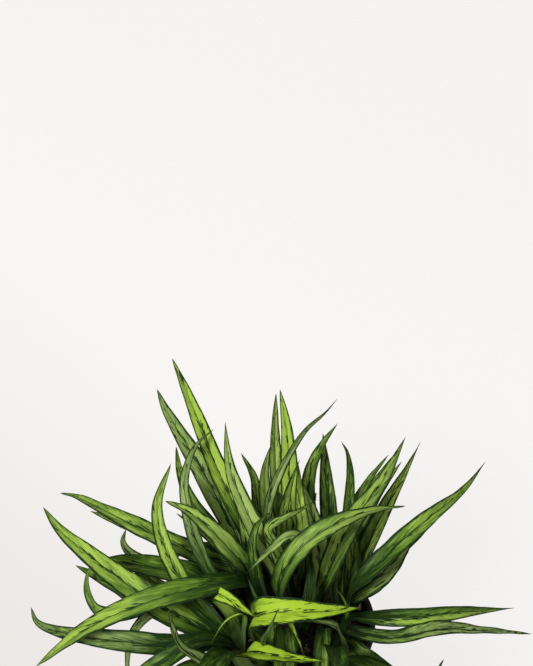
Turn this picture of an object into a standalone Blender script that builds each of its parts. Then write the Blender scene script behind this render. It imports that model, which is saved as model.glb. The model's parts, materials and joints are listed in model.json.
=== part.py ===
"""A potted Chinese evergreen: narrow-leaved canes in a round nursery pot filled with potting mix.

Metres, +Z up. The origin is the middle of the pot's flat base, and -Y is the side that the viewer
looks from. The leaves that the viewer sees are placed along lines of sight: each point of a midrib is
the pixel that it is seen at and how far it reaches towards the viewer. The leaves on the far side and
below the view are placed in the same way, or by their heading from the cane. Each leaf then bends a
little along its line of sight where it would run into a cane or into a leaf placed before it.
"""

import math
from collections import namedtuple

import bmesh
import bpy
from mathutils import Matrix, Vector
from mathutils.bvhtree import BVHTree

MM = 0.001
UP = Vector((0, 0, 1))
GAP = 0.3 * MM
MERGE = 0.01 * MM

# The pot
POT_HEIGHT = 128 * MM
RIM_RADIUS = 77.5 * MM
BASE_RADIUS = 54 * MM
WALL = 1.8 * MM
FLOOR = 2.6 * MM
COLLAR_HEIGHT = 16 * MM
COLLAR_STEP = 2.2 * MM
LIP = 1.6 * MM
LIP_HEIGHT = 2.6 * MM
FOOT_BEVEL = 2.5 * MM
EDGE = 0.8 * MM
POT_SIDES = 40
DRAIN_HOLES = 8
DRAIN_RADIUS = 4.5 * MM
DRAIN_CIRCLE = 40 * MM
DRAIN_SIDES = 10

# The potting mix
SOIL_TOP = POT_HEIGHT - 14 * MM
SOIL_SHOULDER = SOIL_TOP - 3 * MM
SOIL_SWELL = 3 * MM
SOIL_LUMP = 0.9 * MM
LUMP_WAVE = 34 * MM
SMALL_LUMP = 0.6
SMALL_LUMP_WAVE = 14 * MM
SOIL_SIDES = 32
SOIL_RINGS = 6
STEM_HOLE_DEPTH = 38 * MM
STEM_HOLE_ROOM = 0.5 * MM
STEM_HOLE_SIDES = 14

# The view: an 85 mm lens on a frame 36 mm high, which is 666 pixels, 1.494 m from the rim's middle
FRAME_MIDDLE = (266.5, 333.0)
FOCAL_PIXELS = 1572.5
RIM_PIXEL = (292.0, 622.0)
VIEW_DISTANCE = 1.494
VIEW_PITCH = math.radians(44.6)

# The cane
CANE_BEVEL = 2
CANE_SCARS = (0.4, 0.75)
CANE_WAIST = 0.9
CANE_WAIST_BELOW = 0.08
CANE_SCAR = 1.06
CANE_TIP = 0.62
CANE_POINT = 0.8
CANE_POINT_LENGTH = 6 * MM
CANE_UPRIGHT = 2 * MM
ROOT_SINK = 4 * MM

# The leaf
STATIONS = 11
STATIONS_OF_NARROW = 9
NARROW = 15.5 * MM
PETIOLE_SHARE = 0.12
PETIOLE_WIDTH = 5.4 * MM
PETIOLE_THICKNESS = 3.6 * MM
BLADE_THICKNESS = 0.9 * MM
EDGE_SHARE = 0.85
TIP_WIDTH = 0.9 * MM
BROAD_BASE = 0.70
BLADE_FOLD = math.radians(13)
WAVES = 2.4
WAVE_HEIGHT = 1.1 * MM
WAVE_LAG = 2.2
FULL_WAVE_WIDTH = 20 * MM
ARCH = 0.055
TIP_DROOP = 1.3
UPRIGHT_START = 0.6
CURVE_STEPS = 14
ROLL_SHARE = 0.35
BLADE_START = 0.18
SLIM_START = 0.1
SLIM_REACH = 0.2

# How a leaf gives way to its neighbours
CLEARANCE = 1.2 * MM
FOREIGN_WEIGHT = 3
GIVE_STEP = 4 * MM
GIVE_STEPS = 17
GIVE_START = 0.04
GIVE_REACH = 0.4
ROOT_STATIONS = 4

# Colours
POT_COLOUR = (0.012, 0.012, 0.014)
SOIL_COLOUR = (0.02, 0.014, 0.011)
LEAF_COLOUR = (0.16, 0.32, 0.06)
SHARP_ANGLE = math.radians(35)

Stem = namedtuple("Stem", "x y top_x top_y top radius taper")
# Each cane's foot and top in mm from the pot's axis, its height above the rim, its radius, and how early
# its blades taper
STEMS = {
    "left": Stem(-40, -4, -43, -4, 24, 5.5, 0.75),
    "centre": Stem(5, -10, 4, -12, 26, 6.0, 1.0),
    "right": Stem(48, -6, 52, -6, 12, 5.5, 1.25),
    "front_left": Stem(-42, -44, -47, -48, 6, 5.0, 0.75),
    "front": Stem(-6, -50, -8, -55, 10, 5.0, 0.85),
    "front_right": Stem(33, -42, 35, -46, 10, 5.5, 1.0),
    "back_left": Stem(-33, 36, -35, 40, 20, 5.5, 0.72),
    "back": Stem(1, 37, 0, 40, 24, 5.5, 0.75),
    "back_right": Stem(36, 31, 38, 33, 18, 5.5, 0.85),
}

# The leaves that the viewer sees. Each row is the cane, mm below its top, width in mm, roll in degrees,
# and the midrib from cane to tip: the pixel's column and row, and mm towards the viewer from the rim
SEEN_LEAVES = [
    ("left", 2, 25, 8, [(250, 582, 45), (200, 588, 72), (150, 601, 86), (90, 627, 78), (35, 667, 58)]),
    ("front_left", 2, 22, 0, [
        (240, 638, 52), (180, 646, 62), (120, 641, 66), (60, 632, 56), (37, 622, 50), (31, 607, 46),
    ]),
    ("front_left", 5, 25, 0, [
        (240, 645, 50), (200, 627, 52), (150, 600, 50), (95, 560, 36), (60, 530, 22), (43, 507, 10),
    ]),
    ("left", 14, 21, 0, [
        (245, 574, 28), (200, 556, 22), (150, 533, 6), (100, 508, -20), (78, 497, -33), (60, 493, -45),
    ]),
    ("front_left", 0, 17, 0, [
        (228, 636, 58), (192, 596, 52), (167, 552, 58), (157, 508, 60), (171, 463, 54),
    ]),
    ("left", 6, 22, 0, [
        (250, 575, 46), (232, 552, 60), (210, 529, 68), (188, 511, 68), (165, 501, 60),
    ]),
    ("centre", 2, 19, 5, [(286, 592, 46), (267, 550, 52), (246, 510, 50), (230, 467, 44), (225, 421, 30)]),
    ("centre", 8, 24, 0, [
        (279, 597, 55), (286, 568, 75), (303, 546, 85), (335, 524, 88), (370, 511, 80), (406, 506, 65),
    ]),
    ("right", 2, 19, 0, [(349, 595, 25), (381, 560, 35), (431, 516, 25), (464, 489, 8), (486, 461, -8)]),
    ("centre", 4, 21, 0, [(316, 600, 40), (334, 557, 46), (352, 522, 40), (382, 482, 30), (406, 436, 14)]),
    ("back_left", 2, 19, 0, [
        (260, 562, 20), (238, 512, 16), (215, 463, 8), (195, 412, -6), (172, 358, -26),
    ]),
    ("back_left", 8, 22, 0, [
        (252, 570, 8), (228, 518, 0), (203, 472, -10), (176, 427, -25), (164, 406, -34), (157, 389, -42),
    ]),
    ("front", 2, 30, -10, [
        (264, 640, 62), (254, 616, 90), (278, 612, 108), (318, 611, 116), (360, 608, 112),
    ]),
    ("front", 0, 25, -10, [
        (254, 664, 66), (246, 652, 88), (266, 654, 104), (294, 659, 112), (323, 661, 114),
    ]),
    ("right", 10, 17, 0, [(342, 618, 22), (380, 618, 36), (420, 617, 42), (464, 612, 34), (515, 608, 8)]),
    ("front_right", 6, 19, 0, [
        (334, 628, 36), (366, 635, 46), (396, 638, 52), (440, 629, 54), (490, 631, 40), (533, 634, 24),
    ]),
    ("front_right", 12, 23, 0, [
        (340, 641, 42), (364, 660, 56), (394, 679, 58), (428, 681, 52), (444, 659, 50),
    ]),
    ("right", 8, 29, 0, [(350, 600, 8), (384, 571, 4), (420, 528, -6)]),
    ("right", 0, 17, 0, [(350, 586, 4), (366, 548, 8), (387, 505, 4), (406, 470, -6), (421, 441, -16)]),
    ("left", 10, 14, -10, [
        (222, 590, 48), (200, 550, 54), (187, 507, 54), (185, 478, 52), (196, 446, 44), (214, 429, 36),
    ]),
    ("back", 2, 18, 0, [(293, 540, 14), (290, 485, 12), (287, 432, 6), (280, 389, -6)]),
    ("back", 6, 15, 20, [(282, 530, 4), (276, 472, 2), (275, 430, -2), (276, 393, -12)]),
    ("centre", 0, 10, 40, [
        (270, 545, 46), (268, 507, 58), (282, 468, 64), (305, 431, 58), (325, 413, 50), (338, 398, 40),
    ]),
    ("back_right", 4, 16, 0, [
        (318, 550, 0), (308, 500, 0), (311, 470, -2), (322, 445, -6), (338, 423, -12),
    ]),
    ("back_right", 0, 17, 0, [(331, 550, -10), (328, 505, -12), (325, 465, -16), (323, 433, -22)]),
    ("back_right", 8, 12, 0, [
        (344, 550, -14), (349, 502, -16), (350, 472, -20), (347, 452, -24), (341, 441, -28),
    ]),
    ("left", 0, 15, 0, [(262, 596, 46), (257, 574, 60), (253, 548, 68), (257, 526, 73), (270, 512, 74)]),
    ("centre", 12, 15, -10, [
        (300, 566, 44), (303, 540, 60), (289, 536, 74), (268, 552, 86), (246, 574, 92),
    ]),
    ("front_left", 8, 18, 0, [
        (236, 645, 56), (200, 640, 70), (163, 662, 78), (110, 698, 62), (66, 728, 34),
    ]),
    ("front_left", 0, 17, 30, [
        (236, 672, 72), (206, 662, 94), (181, 647, 104), (172, 627, 108), (169, 608, 108),
    ]),
    ("front_left", 4, 20, 20, [(234, 612, 86), (218, 594, 102), (232, 601, 115), (255, 617, 120)]),
    ("left", 18, 32, 0, [(240, 582, 22), (200, 578, 14), (150, 567, 6), (110, 562, -2), (84, 563, -10)]),
    ("back_left", 0, 14, 0, [(240, 560, 6), (213, 528, 8), (192, 502, 8), (180, 472, 2), (176, 446, -6)]),
    ("back", 10, 15, 0, [(275, 540, 0), (266, 502, -6), (265, 472, -10), (270, 447, -14)]),
    ("back", 0, 14, 0, [(304, 578, 22), (304, 540, 24), (300, 500, 22), (298, 463, 16)]),
    ("back_right", 2, 23, 0, [(322, 580, 24), (318, 550, 30), (312, 515, 32), (303, 483, 28)]),
    ("centre", 6, 13, 30, [(281, 545, 26), (283, 512, 30), (290, 484, 30), (300, 459, 26)]),
    ("back_left", 12, 13, 0, [(268, 540, -10), (258, 507, -12), (254, 478, -14), (241, 453, -18)]),
    ("centre", 10, 13, 0, [(282, 556, 48), (268, 528, 62), (282, 519, 68), (300, 510, 70), (318, 499, 70)]),
    ("right", 4, 15, 0, [(346, 594, 14), (353, 562, 18), (353, 528, 14), (351, 500, 0)]),
    ("right", 12, 11, 0, [(338, 592, 18), (341, 558, 20), (343, 528, 14)]),
    ("back_right", 12, 12, 0, [(345, 530, -6), (366, 485, -12), (389, 454, -22)]),
    ("back_right", 6, 14, 0, [(350, 545, 8), (378, 494, 10), (402, 461, 0)]),
    ("left", 22, 20, -20, [
        (230, 580, 4), (190, 578, -6), (150, 565, -14), (131, 554, -16), (123, 542, -16),
        (126, 529, -16),
    ]),
    ("front_left", 12, 22, 0, [(235, 640, 36), (190, 626, 32), (125, 592, 20), (75, 565, 4)]),
    ("left", 20, 19, -30, [
        (235, 592, 34), (190, 596, 34), (140, 607, 34), (114, 614, 34), (97, 609, 32), (88, 592, 28),
        (88, 574, 26), (96, 558, 24),
    ]),
    ("left", 24, 12, -30, [
        (236, 594, 48), (190, 602, 60), (160, 609, 72), (143, 620, 78), (131, 637, 78), (128, 655, 76),
        (128, 678, 72), (128, 700, 66),
    ]),
    ("left", 12, 11, 0, [(235, 566, 40), (204, 534, 48), (176, 513, 46)]),
    ("left", 8, 14, 0, [(258, 588, 34), (250, 555, 38), (243, 522, 38), (236, 497, 34)]),
    ("front", 16, 11, 0, [
        (272, 645, 60), (278, 620, 84), (287, 620, 96), (296, 636, 104), (305, 657, 106),
    ]),
    ("front", 4, 8, 0, [(268, 648, 78), (255, 633, 96), (242, 619, 108)]),
    ("front", 6, 6, 0, [(263, 645, 84), (270, 628, 124), (279, 607, 134)]),
    ("front_left", 2, 6, 0, [(243, 632, 84), (243, 614, 104), (226, 621, 114), (210, 645, 114)]),
    ("front_right", 0, 6, 0, [(347, 612, 60), (343, 598, 76), (334, 587, 82)]),
    ("front_right", 2, 15, 0, [(325, 628, 60), (322, 650, 84), (319, 690, 78), (316, 730, 50)]),
    ("front_right", 4, 15, 0, [(342, 648, 60), (338, 629, 84), (321, 622, 100), (301, 621, 104)]),
    ("front", 8, 22, 0, [(284, 628, 62), (285, 650, 84), (281, 690, 84), (272, 740, 52)]),
    ("front", 2, 14, 0, [(300, 630, 46), (308, 604, 60), (311, 578, 60), (309, 547, 54)]),
    ("left", 0, 6, 0, [(262, 606, 72), (255, 596, 84), (248, 578, 86)]),
    ("left", 16, 13, 0, [(234, 602, 24), (200, 598, 22), (172, 591, 18), (146, 577, 10), (121, 561, 2)]),
]

# The leaves on the far side, each behind one of those above and placed in the same way
FAR_LEAVES = [
    ("back_right", 16, 13, 0, [(333, 560, -36), (328, 500, -70), (325, 452, -98)]),
    ("back_right", 20, 14, 0, [(350, 530, -30), (375, 485, -60), (396, 452, -84)]),
    ("back_left", 16, 19, 0, [(240, 540, -34), (214, 482, -64), (195, 444, -92)]),
    ("back", 16, 13, 0, [(286, 520, -34), (284, 470, -62), (284, 425, -86)]),
    ("back_left", 20, 17, 0, [(222, 562, -18), (150, 534, -50), (90, 511, -84)]),
    ("right", 16, 15, 0, [(362, 578, -14), (404, 537, -46), (446, 500, -80)]),
    ("back_left", 24, 17, 0, [(238, 545, -50), (215, 490, -92), (190, 446, -130)]),
    ("back", 20, 17, 0, [(286, 524, -52), (285, 475, -92), (283, 440, -124)]),
    ("back_right", 24, 17, 0, [(334, 552, -50), (329, 505, -88), (325, 470, -118)]),
    ("back_right", 28, 16, 0, [(350, 536, -46), (372, 494, -84), (393, 464, -112)]),
    ("right", 20, 20, 0, [(376, 572, -34), (428, 522, -74), (466, 487, -104)]),
]

# The leaves below the view. Each row is the cane, mm below its top, width in mm, roll and heading in
# degrees, and the midrib from cane to tip: mm out from the cane's top and mm above the rim
TURNED_LEAVES = [
    ("front_left", 14, 25, 0, 228, [(18, 26), (70, 62), (140, 62), (205, 22)]),
    ("front_left", 6, 23, 0, 252, [(14, 34), (54, 84), (112, 104), (172, 84)]),
    ("front", 10, 25, 0, 262, [(16, 32), (60, 66), (125, 64), (190, 12)]),
    ("front", 14, 23, 0, 240, [(18, 24), (64, 46), (120, 36), (170, -6)]),
    ("front", 12, 24, 0, 288, [(16, 26), (66, 52), (130, 44), (196, -8)]),
    ("front_right", 10, 25, 0, 296, [(16, 30), (66, 70), (128, 80), (196, 44)]),
    ("front_right", 16, 24, 0, 318, [(18, 24), (70, 44), (136, 34), (200, -10)]),
    ("front_right", 8, 20, 0, 272, [(12, 36), (44, 88), (90, 118), (140, 118)]),
    ("right", 18, 22, 0, 288, [(14, 10), (50, 4), (96, -20), (138, -62)]),
    ("back", 22, 22, 0, 80, [(14, 22), (52, 36), (96, 14), (132, -40)]),
    ("back", 26, 20, 0, 106, [(14, 18), (50, 28), (92, 4), (122, -50)]),
    ("back_left", 27, 20, 0, 152, [(14, 18), (46, 28), (80, 8), (110, -34)]),
    ("back_right", 25, 20, 0, 60, [(14, 16), (44, 24), (76, 4), (102, -34)]),
    ("front_right", 20, 18, 0, 307, [(14, 18), (48, 24), (90, 6), (130, -34)]),
]

Leaf = namedtuple("Leaf", "stem drop width roll knots along_sight")
Section = namedtuple("Section", "centre side normal half_width half_thickness left_lift right_lift")

# The six corners of a leaf's section
LEFT_TOP, RIB_TOP, RIGHT_TOP, RIGHT_UNDER, RIB_UNDER, LEFT_UNDER = range(6)
CORNERS = 6


def sight_axes():
    """The viewer's right, up and backward directions."""
    right = Vector((1, 0, 0))
    up = Vector((0, math.sin(VIEW_PITCH), math.cos(VIEW_PITCH)))
    return right, up, right.cross(up)


def sight_ray(column, row):
    """The line of sight through a pixel, one unit deep."""
    right, up, back = sight_axes()
    across = (column - FRAME_MIDDLE[0]) / FOCAL_PIXELS
    down = (row - FRAME_MIDDLE[1]) / FOCAL_PIXELS
    return across * right - down * up - back


VIEWER = POT_HEIGHT * UP - VIEW_DISTANCE * sight_ray(*RIM_PIXEL)


def seen(column, row, near):
    """The point seen at a pixel, `near` mm nearer to the viewer than the middle of the rim."""
    return VIEWER + (VIEW_DISTANCE - near * MM) * sight_ray(column, row)


def headed(stem, heading, reach, height):
    """The point `reach` mm out from a cane's top on a heading, `height` mm above the rim."""
    angle = math.radians(heading)
    top = STEMS[stem]
    x = top.top_x + reach * math.cos(angle)
    y = top.top_y + reach * math.sin(angle)
    return Vector((x, y, height)) * MM + POT_HEIGHT * UP


def foot_of(name):
    """Where a cane leaves the potting mix."""
    stem = STEMS[name]
    return Vector((stem.x * MM, stem.y * MM, SOIL_TOP))


def cane_point(name, below):
    """The point on a cane's axis `below` metres under its top."""
    stem = STEMS[name]
    top = Vector((stem.top_x, stem.top_y, stem.top)) * MM + POT_HEIGHT * UP
    return top + (foot_of(name) - top).normalized() * below


def all_leaves():
    """Every leaf, in the order in which they take their places."""
    found = []
    for stem, drop, width, roll, points in SEEN_LEAVES + FAR_LEAVES:
        knots = [seen(*point) for point in points]
        found.append(Leaf(stem, drop * MM, width * MM, math.radians(roll), knots, True))
    for stem, drop, width, roll, heading, points in TURNED_LEAVES:
        knots = [headed(stem, heading, *point) for point in points]
        found.append(Leaf(stem, drop * MM, width * MM, math.radians(roll), knots, False))
    return found


def smooth_step(x):
    x = min(1.0, max(0.0, x))
    return x * x * (3 - 2 * x)


def spline_point(a, b, c, d, share):
    """A point between b and c on the centripetal Catmull-Rom curve through four points."""
    t1 = (b - a).length ** 0.5
    t2 = t1 + (c - b).length ** 0.5
    t3 = t2 + (d - c).length ** 0.5
    t = t1 + (t2 - t1) * share
    ab = a.lerp(b, t / t1)
    bc = b.lerp(c, (t - t1) / (t2 - t1))
    cd = c.lerp(d, (t - t2) / (t3 - t2))
    return ab.lerp(bc, t / t2).lerp(bc.lerp(cd, (t - t1) / (t3 - t1)), (t - t1) / (t2 - t1))


def smooth_line(knots):
    """A smooth line through the knots, which leaves the first one upwards."""
    start = knots[0] - UP * (knots[1] - knots[0]).length * UPRIGHT_START
    end = knots[-1] * 2 - knots[-2]
    chain = [start, *knots, end]
    line = []
    for four in zip(chain, chain[1:], chain[2:], chain[3:]):
        line += [spline_point(*four, step / CURVE_STEPS) for step in range(CURVE_STEPS)]
    return line + [knots[-1]]


def evenly(line, count):
    """Points at even distances along a line, and the line's length."""
    run = [0.0]
    for a, b in zip(line, line[1:]):
        run.append(run[-1] + (b - a).length)
    found = []
    k = 0
    for i in range(count):
        want = run[-1] * i / (count - 1)
        while k < len(line) - 2 and run[k + 1] < want:
            k += 1
        found.append(line[k].lerp(line[k + 1], (want - run[k]) / (run[k + 1] - run[k])))
    return found, run[-1]


def midrib(leaf, give, count):
    """The midrib from the cane's axis to the tip, arched, and bent by `give` metres over its outer part."""
    root = cane_point(leaf.stem, leaf.drop + ROOT_SINK)
    points, length = evenly(smooth_line([root, *leaf.knots]), count)
    for i, point in enumerate(points):
        t = i / (count - 1)
        bend = give * smooth_step((t - GIVE_START) / GIVE_REACH)
        if leaf.along_sight:
            arch = ARCH * length * (math.sin(math.pi * t) - TIP_DROOP * t**3)
            points[i] = point + (VIEWER - point).normalized() * (bend + arch)
        else:
            points[i] = point + UP * bend
    return points


def carried_frames(points, roll):
    """The side and the upper face's normal at each point, carried along the midrib without twisting."""
    heading = points[-1] - points[0]
    heading.z = 0
    side = heading.cross(UP).normalized()
    last = len(points) - 1
    found = []
    for i in range(len(points)):
        tangent = (points[min(i + 1, last)] - points[max(i - 1, 0)]).normalized()
        side = (side - tangent * side.dot(tangent)).normalized()
        turned_side = Matrix.Rotation(roll * smooth_step(i / last / ROLL_SHARE), 3, tangent) @ side
        found.append((turned_side, turned_side.cross(tangent)))
    return found


def blade_outline(t, taper):
    """The blade's width as a share of its greatest, from its base at 0 to its drawn-out tip at 1."""
    return math.sin(math.pi * t**BROAD_BASE) ** taper if 0 < t < 1 else 0.0


def leaf_sections(leaf, points):
    """A petiole that widens into a folded blade with waved edges, as one section for each point."""
    last = len(points) - 1
    found = []
    for i, (point, (side, normal)) in enumerate(zip(points, carried_frames(points, leaf.roll))):
        t = (i / last - PETIOLE_SHARE) / (1 - PETIOLE_SHARE)
        blade = smooth_step(t / BLADE_START)
        slim = smooth_step((t - SLIM_START) / SLIM_REACH)
        least_width = PETIOLE_WIDTH * (1 - slim) + TIP_WIDTH * slim
        half_width = max(leaf.width * blade_outline(t, STEMS[leaf.stem].taper), least_width) / 2
        thickness = PETIOLE_THICKNESS * (1 - blade) + BLADE_THICKNESS * blade
        wave = WAVE_HEIGHT * blade * (1 - max(t, 0) ** 2) * min(1.0, leaf.width / FULL_WAVE_WIDTH)
        phase = 2 * math.pi * WAVES * t + leaf.width / MM
        fold = half_width * math.tan(BLADE_FOLD) * blade
        left_lift = fold + wave * math.sin(phase)
        right_lift = fold + wave * math.sin(phase + WAVE_LAG)
        found.append(Section(point, side, normal, half_width, thickness / 2, left_lift, right_lift))
    return found


def section_corners(section, extra):
    """A section's six corners, in the order of the names above, `extra` metres thicker on each face."""
    rib = section.normal * (section.half_thickness + extra)
    edge = section.normal * (section.half_thickness * EDGE_SHARE + extra)
    left = section.centre - section.side * section.half_width + section.normal * section.left_lift
    right = section.centre + section.side * section.half_width + section.normal * section.right_lift
    return [left + edge, section.centre + rib, right + edge, right - edge, section.centre - rib, left - edge]


def segment_faces(a):
    """The triangles between the section whose corners start at index a and the next one.

    Both faces of the blade are split along the same diagonals."""
    b = a + CORNERS
    return [
        (a + LEFT_TOP, a + RIB_TOP, b + LEFT_TOP),
        (a + RIB_TOP, b + RIB_TOP, b + LEFT_TOP),
        (a + RIB_TOP, a + RIGHT_TOP, b + RIGHT_TOP),
        (a + RIB_TOP, b + RIGHT_TOP, b + RIB_TOP),
        (a + RIGHT_TOP, a + RIGHT_UNDER, b + RIGHT_UNDER),
        (a + RIGHT_TOP, b + RIGHT_UNDER, b + RIGHT_TOP),
        (a + RIB_UNDER, b + RIGHT_UNDER, a + RIGHT_UNDER),
        (a + RIB_UNDER, b + RIB_UNDER, b + RIGHT_UNDER),
        (a + LEFT_UNDER, b + LEFT_UNDER, a + RIB_UNDER),
        (a + RIB_UNDER, b + LEFT_UNDER, b + RIB_UNDER),
        (a + LEFT_UNDER, a + LEFT_TOP, b + LEFT_TOP),
        (a + LEFT_UNDER, b + LEFT_TOP, b + LEFT_UNDER),
    ]


def cap_faces(a, at_tip):
    """The four triangles that close a leaf at its root or at its tip."""
    faces = [
        (a + LEFT_TOP, a + LEFT_UNDER, a + RIB_TOP),
        (a + RIB_TOP, a + LEFT_UNDER, a + RIB_UNDER),
        (a + RIB_TOP, a + RIB_UNDER, a + RIGHT_TOP),
        (a + RIGHT_TOP, a + RIB_UNDER, a + RIGHT_UNDER),
    ]
    return [face[::-1] for face in faces] if at_tip else faces


def leaf_shell(leaf, points, extra=0.0, skip=0):
    """Corners and triangles of a leaf, as a loft of its sections without the first `skip` of them."""
    sections = leaf_sections(leaf, points)[skip:]
    corners = [corner for section in sections for corner in section_corners(section, extra)]
    tip = CORNERS * (len(sections) - 1)
    faces = cap_faces(0, at_tip=False) + cap_faces(tip, at_tip=True)
    for start in range(0, tip, CORNERS):
        faces += segment_faces(start)
    return corners, faces


def add_mesh(name, mesh, into):
    obj = bpy.data.objects.new(name, mesh)
    into.objects.link(obj)
    return obj


def add_shell(name, corners, faces, into):
    mesh = bpy.data.meshes.new(name)
    mesh.from_pydata([tuple(corner) for corner in corners], [], faces)
    return add_mesh(name, mesh, into)


def settled(obj, merge=0.0):
    """The object's shape after its modifiers, as a new mesh, with points closer than `merge` made one."""
    graph = bpy.context.evaluated_depsgraph_get()
    mesh = bpy.data.meshes.new_from_object(obj.evaluated_get(graph))
    if merge:
        shape = bmesh.new()
        shape.from_mesh(mesh)
        bmesh.ops.remove_doubles(shape, verts=shape.verts, dist=merge)
        shape.to_mesh(mesh)
        shape.free()
    return mesh


def cane_rings(name):
    """A cane's axis with its radius: upright in its hole, then leaning, with the scars of old leaves."""
    foot = foot_of(name)
    start = foot + UP * (SOIL_SWELL + CANE_UPRIGHT)
    top = cane_point(name, 0)
    deepest = foot - UP * (STEM_HOLE_DEPTH - GAP)
    rings = [(deepest, CANE_POINT), (deepest + UP * CANE_POINT_LENGTH, 1), (start, 1)]
    for share in CANE_SCARS:
        waist = start.lerp(top, share - CANE_WAIST_BELOW)
        rings += [(waist, CANE_WAIST), (start.lerp(top, share), CANE_SCAR)]
    return rings + [(top, CANE_TIP)]


def make_cane(name, into):
    """A bevelled line along the cane, made a closed mesh."""
    rings = cane_rings(name)
    curve = bpy.data.curves.new(name, "CURVE")
    curve.dimensions = "3D"
    curve.bevel_depth = STEMS[name].radius * MM
    curve.bevel_resolution = CANE_BEVEL
    curve.use_fill_caps = True
    line = curve.splines.new("POLY")
    line.points.add(len(rings) - 1)
    for point, (place, share) in zip(line.points, rings):
        point.co = (*place, 1)
        point.radius = share
    guide = add_mesh(name + "_line", curve, into)
    mesh = settled(guide, merge=MERGE)
    drop(guide)
    return add_mesh("stem_" + name, mesh, into)


def gives():
    """The bends to try: none, then growing ones to either side."""
    return [(k + 1) // 2 * GIVE_STEP * (1 if k % 2 else -1) for k in range(GIVE_STEPS)]


def shell_tree(corners, faces):
    return BVHTree.FromPolygons(corners, faces)


def crossings(leaf, whole, blade, taken):
    """How badly a leaf runs into what is in place; one of its own cane counts only past the petioles."""
    found = 0
    for stem, other_whole, other_blade in taken:
        if stem != leaf.stem:
            found += FOREIGN_WEIGHT * bool(whole.overlap(other_whole))
        elif other_blade:
            found += bool(blade.overlap(other_blade))
    return found


def place_leaves(canes):
    """Every leaf with its midrib, bent by the least that clears the canes and the leaves before it."""
    taken = [(name, BVHTree.FromObject(cane, bpy.context.evaluated_depsgraph_get()), None)
             for name, cane in canes.items()]
    placed = []
    for leaf in all_leaves():
        count = STATIONS_OF_NARROW if leaf.width < NARROW else STATIONS
        best = None
        for give in gives():
            points = midrib(leaf, give, count)
            whole = shell_tree(*leaf_shell(leaf, points, CLEARANCE))
            blade = shell_tree(*leaf_shell(leaf, points, CLEARANCE, ROOT_STATIONS))
            found = crossings(leaf, whole, blade, taken)
            if best is None or found < best[0]:
                best = (found, points, whole, blade)
            if not found:
                break
        found, points, whole, blade = best
        taken.append((leaf.stem, whole, blade))
        placed.append((leaf, points))
        if found:
            print(f"leaf {len(placed) - 1}, of {leaf.stem}, still crosses its neighbours: {found}")
    return placed


def material(name, colour, roughness):
    made = bpy.data.materials.new(name)
    made.use_nodes = True
    shader = made.node_tree.nodes["Principled BSDF"]
    shader.inputs["Base Color"].default_value = (*colour, 1)
    shader.inputs["Roughness"].default_value = roughness
    made.diffuse_color = (*colour, 1)
    return made


def collection(name, hidden=False):
    made = bpy.data.collections.new(name)
    made.hide_render = hidden
    bpy.context.scene.collection.children.link(made)
    return made


def drop(obj):
    bpy.data.objects.remove(obj, do_unlink=True)


def boolean(obj, operation, others):
    """One Boolean with all the objects of a collection."""
    step = obj.modifiers.new(operation.lower(), "BOOLEAN")
    step.operation = operation
    step.operand_type = "COLLECTION"
    step.collection = others


def cutter(name, radius, low, high, x, y, sides, into):
    """An upright cylinder that cuts a hole."""
    mesh = bpy.data.meshes.new(name)
    shape = bmesh.new()
    place = Matrix.Translation((0, 0, (low + high) / 2))
    bmesh.ops.create_cone(
        shape, cap_ends=True, segments=sides, radius1=radius, radius2=radius, depth=high - low, matrix=place
    )
    shape.to_mesh(mesh)
    shape.free()
    obj = add_mesh(name, mesh, into)
    obj.location = (x, y, 0)
    obj.display_type = "WIRE"
    obj.hide_render = True
    return obj


def turned(name, profile, sides, into):
    """A profile of (radius, height), from the top down its outer side, turned about the Z axis."""
    mesh = bpy.data.meshes.new(name)
    edges = [(i, i + 1) for i in range(len(profile) - 1)]
    mesh.from_pydata([(radius, 0, height) for radius, height in profile], edges, [])
    obj = add_mesh(name, mesh, into)
    screw = obj.modifiers.new("turn", "SCREW")
    screw.steps = sides
    screw.render_steps = sides
    screw.use_merge_vertices = True
    screw.merge_threshold = MERGE
    return obj


def outer_radius(height):
    """The radius of the pot's tapered wall, outside."""
    taper = (RIM_RADIUS - COLLAR_STEP - BASE_RADIUS) / (POT_HEIGHT - COLLAR_HEIGHT)
    return min(BASE_RADIUS + taper * height, RIM_RADIUS - COLLAR_STEP)


def inner_radius(height):
    return outer_radius(height) - WALL


def pot_profile():
    """Inside from the floor's middle up to the lip, then down the outside to the base's middle."""
    collar = POT_HEIGHT - COLLAR_HEIGHT
    lip = RIM_RADIUS + LIP
    bore = inner_radius(POT_HEIGHT)
    return [
        (0, FLOOR),
        (inner_radius(FLOOR), FLOOR),
        (inner_radius(collar), collar),
        (bore, POT_HEIGHT - EDGE),
        (bore + EDGE, POT_HEIGHT),
        (lip - EDGE, POT_HEIGHT),
        (lip, POT_HEIGHT - EDGE),
        (lip, POT_HEIGHT - LIP_HEIGHT),
        (RIM_RADIUS, POT_HEIGHT - LIP_HEIGHT - EDGE),
        (RIM_RADIUS - EDGE, collar),
        (outer_radius(collar), collar - EDGE),
        (BASE_RADIUS, FOOT_BEVEL),
        (BASE_RADIUS - FOOT_BEVEL, 0),
        (0, 0),
    ]


def make_pot(plant, cutters):
    """A tapered nursery pot with a collar, a lip and a ring of drain holes."""
    pot = turned("pot", pot_profile(), POT_SIDES, plant)
    for k in range(DRAIN_HOLES):
        angle = 2 * math.pi * (k + 0.5) / DRAIN_HOLES
        x = DRAIN_CIRCLE * math.cos(angle)
        y = DRAIN_CIRCLE * math.sin(angle)
        cutter(f"drain_{k}", DRAIN_RADIUS, -2 * FLOOR, 3 * FLOOR, x, y, DRAIN_SIDES, cutters)
    boolean(pot, "DIFFERENCE", cutters)
    return pot


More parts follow.
